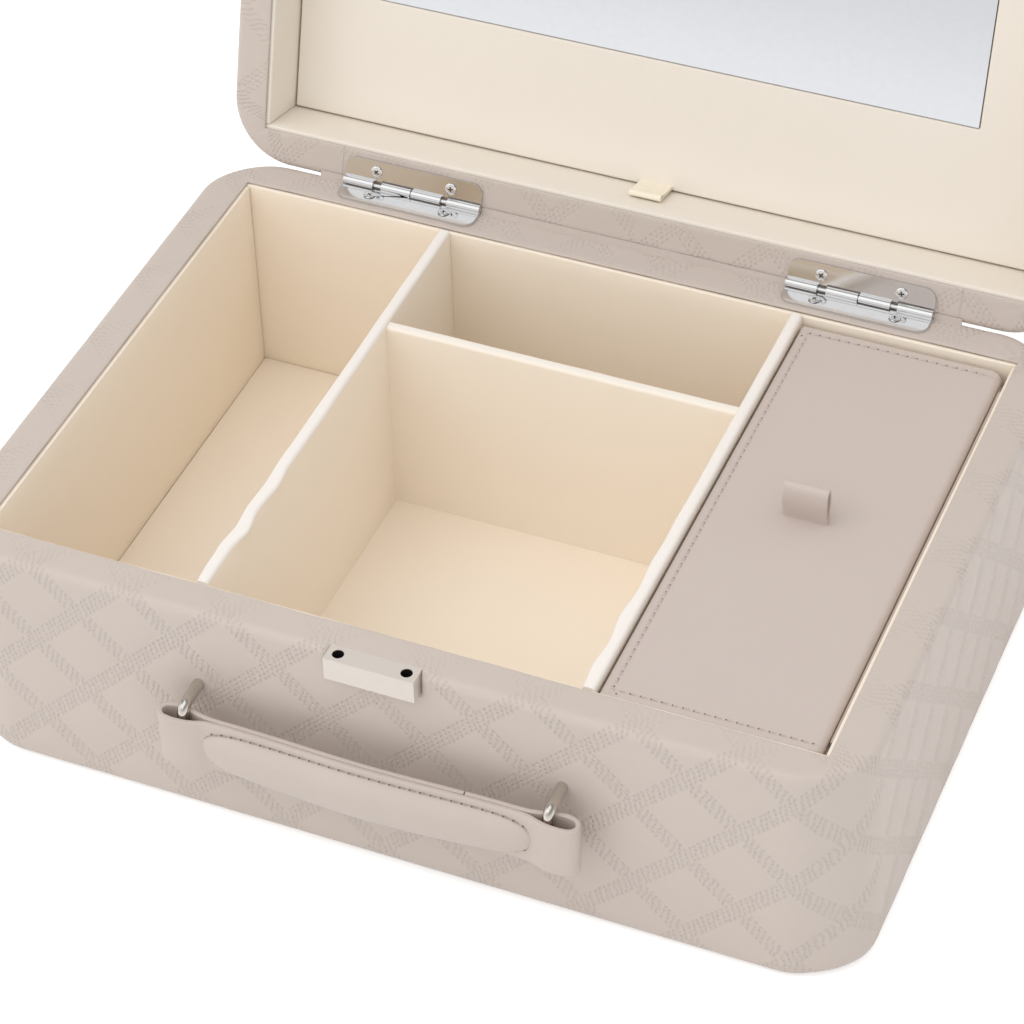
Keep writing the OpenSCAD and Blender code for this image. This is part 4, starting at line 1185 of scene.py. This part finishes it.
def join_pieces(name, *parts):
    """One mesh from several, so that a physical piece stays one piece."""
    work = bmesh.new()
    for part in parts:
        work.from_mesh(part.data)
    joined = bpy.data.meshes.new(name)
    work.to_mesh(joined)
    work.free()
    for material in parts[0].data.materials:
        joined.materials.append(material)
    for part in parts:
        bpy.data.objects.remove(part)
    return sharpen(add_object(name, joined), 60)


# %% [markdown]
# ## The staples
# A staple is one bent wire, so it is the same band with a round section, along legs and two bends.

# %% Staples
BEND = 3.6 * MM
for side in ("left", "right"):
    low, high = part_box(f"staple_{side}")
    wire = (high.x - low.x) / 2 * 1.1
    leg_z, front_y, middle = (high.z - low.z) / 2 - wire, low.y + wire, (low + high) / 2
    turn = arc_points(front_y + BEND, leg_z - BEND, BEND, 90, 180, 16)
    leg = [(y, leg_z) for y in np.linspace(high.y, front_y + BEND, 14)[:-1]]
    upper = leg + turn + [(front_y, z) for z in np.linspace(leg_z - BEND, 0, 12)[1:]]
    path = np.array([(y, middle.z + z) for y, z in upper + [(y, -z) for y, z in upper[-2::-1]]])
    piece = band(f"staple_{side}_plated", path, 2 * wire, 2 * wire, lambda p, across: (middle.x + across, *p),
                 staple_metal, edge=wire, slices=1)
    stand_for(piece, f"staple_{side}")

# %% [markdown]
# ## The strap
# Its ends go round the staples and come back behind the grip, where they meet. The middle follows the grip,
# and the ends ride on no body.

# %% The strap
pad_low, pad_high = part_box("handle_pad")
strap_low, strap_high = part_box("handle_strap")
STRAP_T = 1.6 * MM
STRAP_Y = (strap_low.y + strap_high.y) / 2
STRAP_Z = (strap_low.z + strap_high.z) / 2
STRAP_H = strap_high.z - strap_low.z
GRIP_X = strap_high.x
LAYER_Y = STRAP_T / 2 + 0.05 * MM
MEET_X = 33 * MM
BOW, SAG, SLID = 1.0 * MM, 2.2 * MM, 1.0 * MM


def bowed(x):
    """1 in the middle of the grip, 0 at its ends."""
    return math.cos(math.pi / 2 * min(1.0, abs(x) / GRIP_X)) ** 2


def in_strap(p, across):
    """The strap hangs out a little in the middle, is fullest there, and has slid along its staples."""
    fuller = SAG * bowed(p[0]) * max(0.0, -across / (STRAP_H / 2))
    return (p[0] + SLID, p[1] - BOW * bowed(p[0]), STRAP_Z + across - fuller)


def end_path(sign):
    bends = [(54.5, -1.15), (58.2, -2.3), (61.6, -3.0), (65.4, -3.1), (68.6, -2.5), (70.1, -0.9), (70.1, 0.9),
             (68.6, 2.5), (65.4, 3.1), (61.6, 2.75), (58.2, 1.75), (54.5, 1.05)]
    loop = [(GRIP_X, -LAYER_Y), (50 * MM, -LAYER_Y), *((x * MM, y * MM) for x, y in bends),
            (50 * MM, LAYER_Y), (GRIP_X, LAYER_Y)]
    path = smooth_path(loop, 0.6 * MM)
    path[0], path[-1] = loop[0], loop[-1]
    return path * np.array([sign, 1]) + np.array([0, STRAP_Y])


for side, sign in (("left", -1), ("right", 1)):
    piece = band(f"strap_end_{side}", end_path(sign), STRAP_T, STRAP_H, in_strap, strap_leather, uneven=0.10 * MM)
    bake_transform(piece)
    stand_for(piece, f"strap_loop_{side}", rides=False)


def layer(x0, x1, y):
    xs = np.linspace(x0, x1, max(3, round(abs(x1 - x0) / (1.5 * MM))))
    return np.stack([xs, np.full_like(xs, STRAP_Y + y)], 1)


layers = (layer(-GRIP_X, GRIP_X, -LAYER_Y), layer(-GRIP_X, MEET_X - 0.25 * MM, LAYER_Y),
          layer(MEET_X + 0.25 * MM, GRIP_X, LAYER_Y))
strap_parts = [band(f"strap_part_{i}", path, STRAP_T, STRAP_H, in_strap, strap_leather)
               for i, path in enumerate(layers)]
strap_middle = join_pieces("strap_middle", *strap_parts)
stand_for(strap_middle, "handle_strap")

# %% [markdown]
# ## The grip
# The front layer is filled like a cushion inside a line of stitches. Its outline is blunt at both ends, and
# the height over the outline follows two powers: a steep rise at the edge and a flat crown.

# %% The grip
PAD_L, PAD_H = (pad_high.x - pad_low.x) / 2, (pad_high.z - pad_low.z) / 2
PAD_BULGE = 3.8 * MM
STITCH = 3.3 * MM
PAD_SAG = 3.0 * MM
PAD_Y = STRAP_Y - STRAP_T - 0.3 * MM


def pad_half_height(u):
    return PAD_H * (1 - abs(u) ** 10) ** 0.45


def grip_mesh(columns=150, rows=44):
    points = []
    for side in (0, 1):
        for i in range(columns + 1):
            u = math.sin(math.pi / 2 * (2 * i / columns - 1)) * 0.9995
            for j in range(rows + 1):
                v = math.sin(math.pi / 2 * (2 * j / rows - 1))
                x, z = u * PAD_L, v * pad_half_height(u) - PAD_SAG * max(0, -v) * (1 - u * u)
                x, y, z = x + SLID, PAD_Y - BOW * bowed(x), z + STRAP_Z
                if side:
                    points.append((x, y + 0.5 * MM, z))
                    continue
                swell = (1 - abs(u) ** 6) ** 0.6 * max(0.0, 1 - abs(v) ** 2.6) ** 0.55
                dimple = noise.noise(Vector((x * 55, z * 90, 3))) * 0.5
                crease = noise.noise(Vector((x * 190, z * 60, 9))) * 0.35
                pucker = math.cos(2 * math.pi * x / STITCH) * max(0.0, (v - 0.72) / 0.28)
                points.append((x, y - swell * (PAD_BULGE + (0.55 * (dimple + crease) - 0.12 * pucker) * MM), z))
    n = (columns + 1) * (rows + 1)
    index = np.arange(n).reshape(columns + 1, rows + 1)
    quads = grid_faces(index)
    faces = quads.tolist() + (quads[:, ::-1] + n).tolist()
    ring = np.concatenate([index[:-1, 0], index[-1, :-1], index[:0:-1, -1], index[0, :0:-1]])
    faces += [(int(a), int(a) + n, int(b) + n, int(b)) for a, b in zip(ring, np.roll(ring, -1))]
    return points, faces


grip_points, grip_faces = grip_mesh()
grip = make_piece("grip_padded", grip_points, grip_faces, strap_leather)
stand_for(grip, "handle_pad")

# %% [markdown]
# ## Rows of thread
# Real stitches sit in a row at an even step. A geometry tree turns a line of points into such a row: it
# walks along the line in equal steps and sets one small rounded piece at each, along the line. A second run
# with a half step's shift sets dark pieces between them, painted shadow of the needle holes. Length, step,
# thickness and shift are its inputs.

# %% Thread tree
def thread_tree():
    tree, given = start_tree("row of stitches",
                             {"Step": STITCH, "Length": 2.3 * MM, "Thickness": 0.5 * MM, "Shift": 0.0})
    line = add_node(tree, "GeometryNodeMeshToCurve", inputs={"Mesh": given["Geometry"]})
    steps = add_node(tree, "GeometryNodeResampleCurve", {"mode": "LENGTH"},
                     {"Curve": line, "Length": given["Step"]})
    ahead = add_node(tree, "FunctionNodeAlignRotationToVector", {"axis": "Z"},
                     {"Vector": add_node(tree, "GeometryNodeInputTangent")})
    bead = add_node(tree, "GeometryNodeMeshUVSphere",
                    inputs={"Segments": 10, "Rings": 8, "Radius": given["Thickness"] / 2}, out="Mesh")
    stretch = add_node(tree, "ShaderNodeCombineXYZ", inputs={0: 1, 1: 1, 2: given["Length"] / given["Thickness"]})
    put = add_node(tree, "GeometryNodeInstanceOnPoints",
                   inputs={"Points": steps, "Instance": bead, "Rotation": ahead, "Scale": stretch})
    shift = add_node(tree, "ShaderNodeCombineXYZ", inputs={2: given["Shift"]})
    moved = add_node(tree, "GeometryNodeTranslateInstances",
                     inputs={"Instances": put, "Translation": shift, "Local Space": True})
    return finish_tree(tree, moved, given["Skin"])


stitch_row = thread_tree()


def sew(name, line, body, skin, hole_shadow_skin, step=STITCH, length=2.3 * MM, thickness=0.5 * MM, hole=0.6 * MM):
    """Threads along the line, and dark beads between them as painted shadow of the needle holes."""
    for part, material, size, thick, shift in (("threads", skin, length, thickness, 0.0),
                                               ("holes", hole_shadow_skin, hole * 1.5, hole, step / 2)):
        mesh = bpy.data.meshes.new(f"{name}_{part}")
        mesh.from_pydata([tuple(p) for p in line], [(i, i + 1) for i in range(len(line) - 1)], [])
        piece = add_object(f"{name}_{part}", mesh)
        set_inputs(piece, stitch_row, Step=step, Length=size, Thickness=thick, Shift=shift, Skin=material)
        bake_modifiers(piece)
        piece.data.shade_smooth()
        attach(piece, body)
        print(piece.name, len(piece.data.polygons), "faces")


def pad_outline(sign):
    line = []
    for u in np.sin(np.linspace(-math.pi / 2, math.pi / 2, 160)) * 0.997:
        sag = PAD_SAG * (1 - u * u) if sign < 0 else 0
        line.append((u * PAD_L + SLID, PAD_Y + 0.02 * MM - BOW * bowed(u * PAD_L),
                     STRAP_Z + sign * (pad_half_height(u) + 0.15 * MM + sag)))
    return line


for name, sign in (("grip_upper", 1), ("grip_lower", -1)):
    sew(name, pad_outline(sign), "handle", taupe_thread, needle_hole_shadow, hole=0.55 * MM)

# %% [markdown]
# ## Lift-out box
# The box's flap is a wrapped board with a line of stitches along three sides; the fourth is the fold that it
# turns on. The line is pressed in a little and given painted shade, which the flap's own finish does.

# %% Box and flap
flap_low, flap_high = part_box("flap_board")
FLAP_WIDER, FLAP_LONGER = 2.0 * MM, 1.2 * MM
flap_low.x -= FLAP_WIDER
flap_low.y -= FLAP_LONGER
SEW_IN = 3.4 * MM
SEW_LEFT, SEW_FRONT, SEW_BACK = flap_low.x + SEW_IN, flap_low.y + SEW_IN, flap_high.y - SEW_IN


def flap_finish():
    material, tree = start_finish("flap leather")
    x, y = in_mm(tree, object_place(tree), 0, 1)
    left = abs(x - SEW_LEFT / MM)
    ends = abs(abs(y - (SEW_FRONT + SEW_BACK) / 2 / MM) - (SEW_BACK - SEW_FRONT) / 2 / MM)
    within = x.below(SEW_LEFT / MM - 0.3, -0.2)
    groove = left.below(0.45, 0.5).calc("MAXIMUM", ends.below(0.45, 0.5) * within)
    height = speckle(tree, 900.0, 2.0) * 0.03 - groove * 0.14
    # painted shade: the pressed groove of the stitch line is coloured darker, with random tone
    shade = speckle(tree, 30.0, 1.0) * 0.25 + groove * 0.10
    roughness = 0.38 + speckle(tree, 260.0, 0.0) * 0.08
    return end_finish(material, tint(tree, BOX_TAUPE, BOX_DEEP, shade), roughness, height, Specular_IOR_Level=0.45)


flap_leather = flap_finish()


def round_off(distance, radius):
    """How far a rounded edge stands back, at a distance from the end."""
    return radius - math.sqrt(max(0.0, radius ** 2 - max(0.0, radius - distance) ** 2))


def flap_mesh():
    """A board with a rounded left edge and a rolled right edge, whose right corners are round in plan."""
    thick = flap_high.z - flap_low.z
    roll = thick / 2
    turn = 1.2 * MM
    section = [(flap_low.x + x, z, 0) for x, z in ((0.5 * MM, 0), (0, 0.5 * MM), (0, thick - turn))]
    section += [(*p, 0) for p in arc_points(flap_low.x + turn, thick - turn, turn, 180, 90, 7)[1:]]
    section += [(x, thick, (x - flap_low.x) / (flap_high.x - flap_low.x))
                for x in np.linspace(flap_low.x + 6 * MM, flap_high.x - roll - 1 * MM, 14)]
    section += [(*p, 1) for p in arc_points(flap_high.x - roll, roll, roll, 90, -90, 19)]
    middle_x = (flap_low.x + flap_high.x) / 2
    depth = flap_high.y - flap_low.y
    near = np.array([0, 0.06, 0.14, 0.26, 0.42, 0.62, 0.86, 1.2, 1.7, 2.3, 3.0, 3.8, 4.7, 6.0]) * MM
    stations = np.concatenate([near, np.linspace(9 * MM, depth - 9 * MM, 30), (depth - near)[::-1]])
    points = []
    for s in stations:
        inset, back = (round_off(min(s, depth - s), radius) for radius in (0.86 * MM, 3 * MM))
        for x, z, share in section:
            z += (roll - z) * inset / roll
            x += (inset if x < middle_x else -inset) * (share in (0, 1)) - back * (share == 1)
            points.append((x, flap_low.y + s, flap_low.z + z))
    return points, tube_faces(len(stations), len(section))


flap = sharpen(make_piece("flap_wrapped", *flap_mesh(), flap_leather), 60)
stand_for(flap, "flap_board")
eased_copy("box_shell", "box_shell_wrapped", box_leather, 0.5 * MM)
SEW_RIGHT = flap_high.x - 6 * MM
sew_line = [(x, y, flap_high.z + 0.02 * MM) for x, y in ((SEW_RIGHT, SEW_BACK), (SEW_LEFT, SEW_BACK),
                                                         (SEW_LEFT, SEW_FRONT), (SEW_RIGHT, SEW_FRONT))]
sew("flap", sew_line, "box_flap", rose_thread, rose_shadow, step=3.4 * MM, length=2.3 * MM,
    thickness=0.55 * MM, hole=0.52 * MM)

# %% [markdown]
# ## A pull loop
# The pull loop and the mirror panel's tab are ribbons folded double. Only one half of the fold is drawn, as
# distances in millimetres from the middle and from the foot.

# %% Pull loop of the flap
def folded_path(half, spacing):
    """One half of a fold and its mirror image."""
    return smooth_path([(y * MM, z * MM) for y, z in half + [(-y, z) for y, z in half[::-1]]], spacing)


loop_low, loop_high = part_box("flap_loop")
LOOP_LEFT = 1.8 * MM
LOOP_X, LOOP_Y = (loop_low.x + loop_high.x) / 2 - LOOP_LEFT, (loop_low.y + loop_high.y) / 2
loop_side = [(0.55, -0.8), (0.75, 1.2), (1.35, 4.0), (1.85, 7.0), (1.9, 9.6), (1.45, 12.0), (0.6, 13.2)]
pull_loop = band("flap_pull_loop", folded_path(loop_side, 0.35 * MM), 1.0 * MM, loop_high.x - loop_low.x,
                 lambda p, across: (LOOP_X + across, LOOP_Y + p[0], flap_high.z + p[1]), box_leather,
                 edge=0.35 * MM)
stand_for(pull_loop, "flap_loop")

# %% [markdown]
# ## Mirror panel
# A padded panel with the mirror let into it, and a ribbon pull at its lower edge.

# %% Mirror panel
eased_copy("mirror_board", "mirror_panel_padded", cream_panel, 0.7 * MM, segments=4)
eased_copy("mirror_glass", "mirror_glass_silvered", silvering, 0.25 * MM)
PANEL_FACE = 21.8 * MM
TAB_X, TAB_Y = -0.8 * MM, INSIDE_D / 2 - 1.6 * MM
TAB_T, TAB_W = 0.5 * MM, 11.8 * MM
tab_half = [(0.42, 0.6), (0.42, -5.0), (0.5, -9.0), (0.85, -10.8), (0.75, -11.8), (0.25, -12.2)]
tab = band("panel_pull_tab", folded_path(tab_half, 0.4 * MM), TAB_T, TAB_W,
           lambda p, across: (TAB_X + across, TAB_Y + p[0], PANEL_FACE + p[1]), ribbon, edge=0.2 * MM)
tab.data.transform(ON_LID)
face_outwards(tab.data)
stand_for(tab, "panel_tab")

# %% [markdown]
# ## The strip behind the hinges
# It is glued to both halves, so it rides on neither body: it keeps the shape that the construction gives it.

# %% Hinge strip
strip = eased_copy("hinge_strip", "hinge_strip_leather", strap_leather, 0.12 * MM, rides=False)
# soft leather closes up to the ends of the knuckles
STRIP_CLEAR = 1.5 * MM
for vertex in strip.data.vertices:
    for low, high in leaf_boxes:
        for end, past in ((low.x, -STRIP_CLEAR), (high.x, STRIP_CLEAR)):
            if abs(vertex.co.x - end - past) < 0.3 * MM:
                vertex.co.x = end + past / 15
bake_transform(strip)

# %% [markdown]
# ## Everything else keeps the construction's shape
# Boards, posts, washers and hidden screws only need their finish.

# %% Finishes of the remaining nodes
FINISH_OF = {
    "board": board, "cream_lining": cream, "divider_wrap": divider_wrap, "plain_leatherette": strap_leather,
    "smooth_leatherette": box_leather, "bright_metal": bright_metal, "steel": hidden_steel,
    "satin_metal": lock_metal, "magnet": magnet_metal, "mirror": silvering, "ribbon": ribbon,
    "quilted_leatherette": quilted,
}
for name, node in frame["nodes"].items():
    node.data.materials.clear()
    node.data.materials.append(FINISH_OF[SLOT_OF[name]])

# %% [markdown]
# ## The studio
# A pale floor under a large soft light from above, with an even fill all round. The floor and the
# surroundings are white to the camera and in reflections only, so the case itself is never over-lit.

# %% Floor
floor_mesh = bpy.data.meshes.new("floor")
FAR = 6
floor_mesh.from_pydata([(-FAR, -FAR, 0), (FAR, -FAR, 0), (FAR, FAR, 0), (-FAR, FAR, 0)], [], [(0, 1, 2, 3)])
floor = add_object("floor", floor_mesh)
floor_material, tree = start_finish("pale floor")
ground = add_node(tree, "ShaderNodeBsdfDiffuse", inputs={"Color": (0.90, 0.90, 0.90, 1)})
glow = add_node(tree, "ShaderNodeEmission", inputs={"Color": (1, 1, 1, 1), "Strength": 0.42})
both = add_node(tree, "ShaderNodeAddShader", inputs={0: ground, 1: glow})
path = tree.nodes.new("ShaderNodeLightPath")
seen = Knot(tree, path.outputs["Is Camera Ray"]).calc("MAXIMUM", Knot(tree, path.outputs["Is Glossy Ray"]))
pick = add_node(tree, "ShaderNodeMixShader", inputs={0: seen, 1: ground, 2: both})
add_node(tree, "ShaderNodeOutputMaterial", inputs={0: pick})
floor_mesh.materials.append(floor_material)

# %% Light
world = bpy.data.worlds.new("studio")
bpy.context.scene.world = world
world.use_nodes = True
tree = world.node_tree
tree.nodes.clear()
path = tree.nodes.new("ShaderNodeLightPath")
direct = Knot(tree, path.outputs["Is Camera Ray"]).calc("MAXIMUM", Knot(tree, path.outputs["Is Transmission Ray"]))
mirrored = Knot(tree, path.outputs["Is Glossy Ray"])
# a reflection shows the white background, and a greyer ceiling overhead
height = add_node(tree, "ShaderNodeSeparateXYZ", inputs={0: add_node(tree, "ShaderNodeTexCoord")}, out=2)
CEILING_FROM, CEILING_SOFT, CEILING_DARKER = 0.42, 0.30, 0.62
FILL = 0.86
overhead = 1 - height.below(CEILING_FROM, CEILING_SOFT)
strength = direct * (1.0 - FILL) + FILL + mirrored * (overhead * -CEILING_DARKER + (1.0 - FILL))
shell = add_node(tree, "ShaderNodeBackground", inputs={"Color": (1, 1, 1, 1), "Strength": strength})
add_node(tree, "ShaderNodeOutputWorld", inputs={0: shell})


def soft_light(name, place, target, size, power):
    data = bpy.data.lights.new(name, "AREA")
    data.shape = "SQUARE"
    data.size = size
    data.energy = power
    lamp = add_object(name, data)
    lamp.location = place
    lamp.rotation_euler = (Vector(target) - Vector(place)).to_track_quat("-Z", "Y").to_euler()
    return lamp


soft_light("overhead softbox", (-0.35, -0.75, 1.6), (0, 0, 0.1), 1.8, 9.5)
soft_light("left softbox", (-1.5, -0.9, 1.1), (0, 0, 0.1), 1.0, 2)
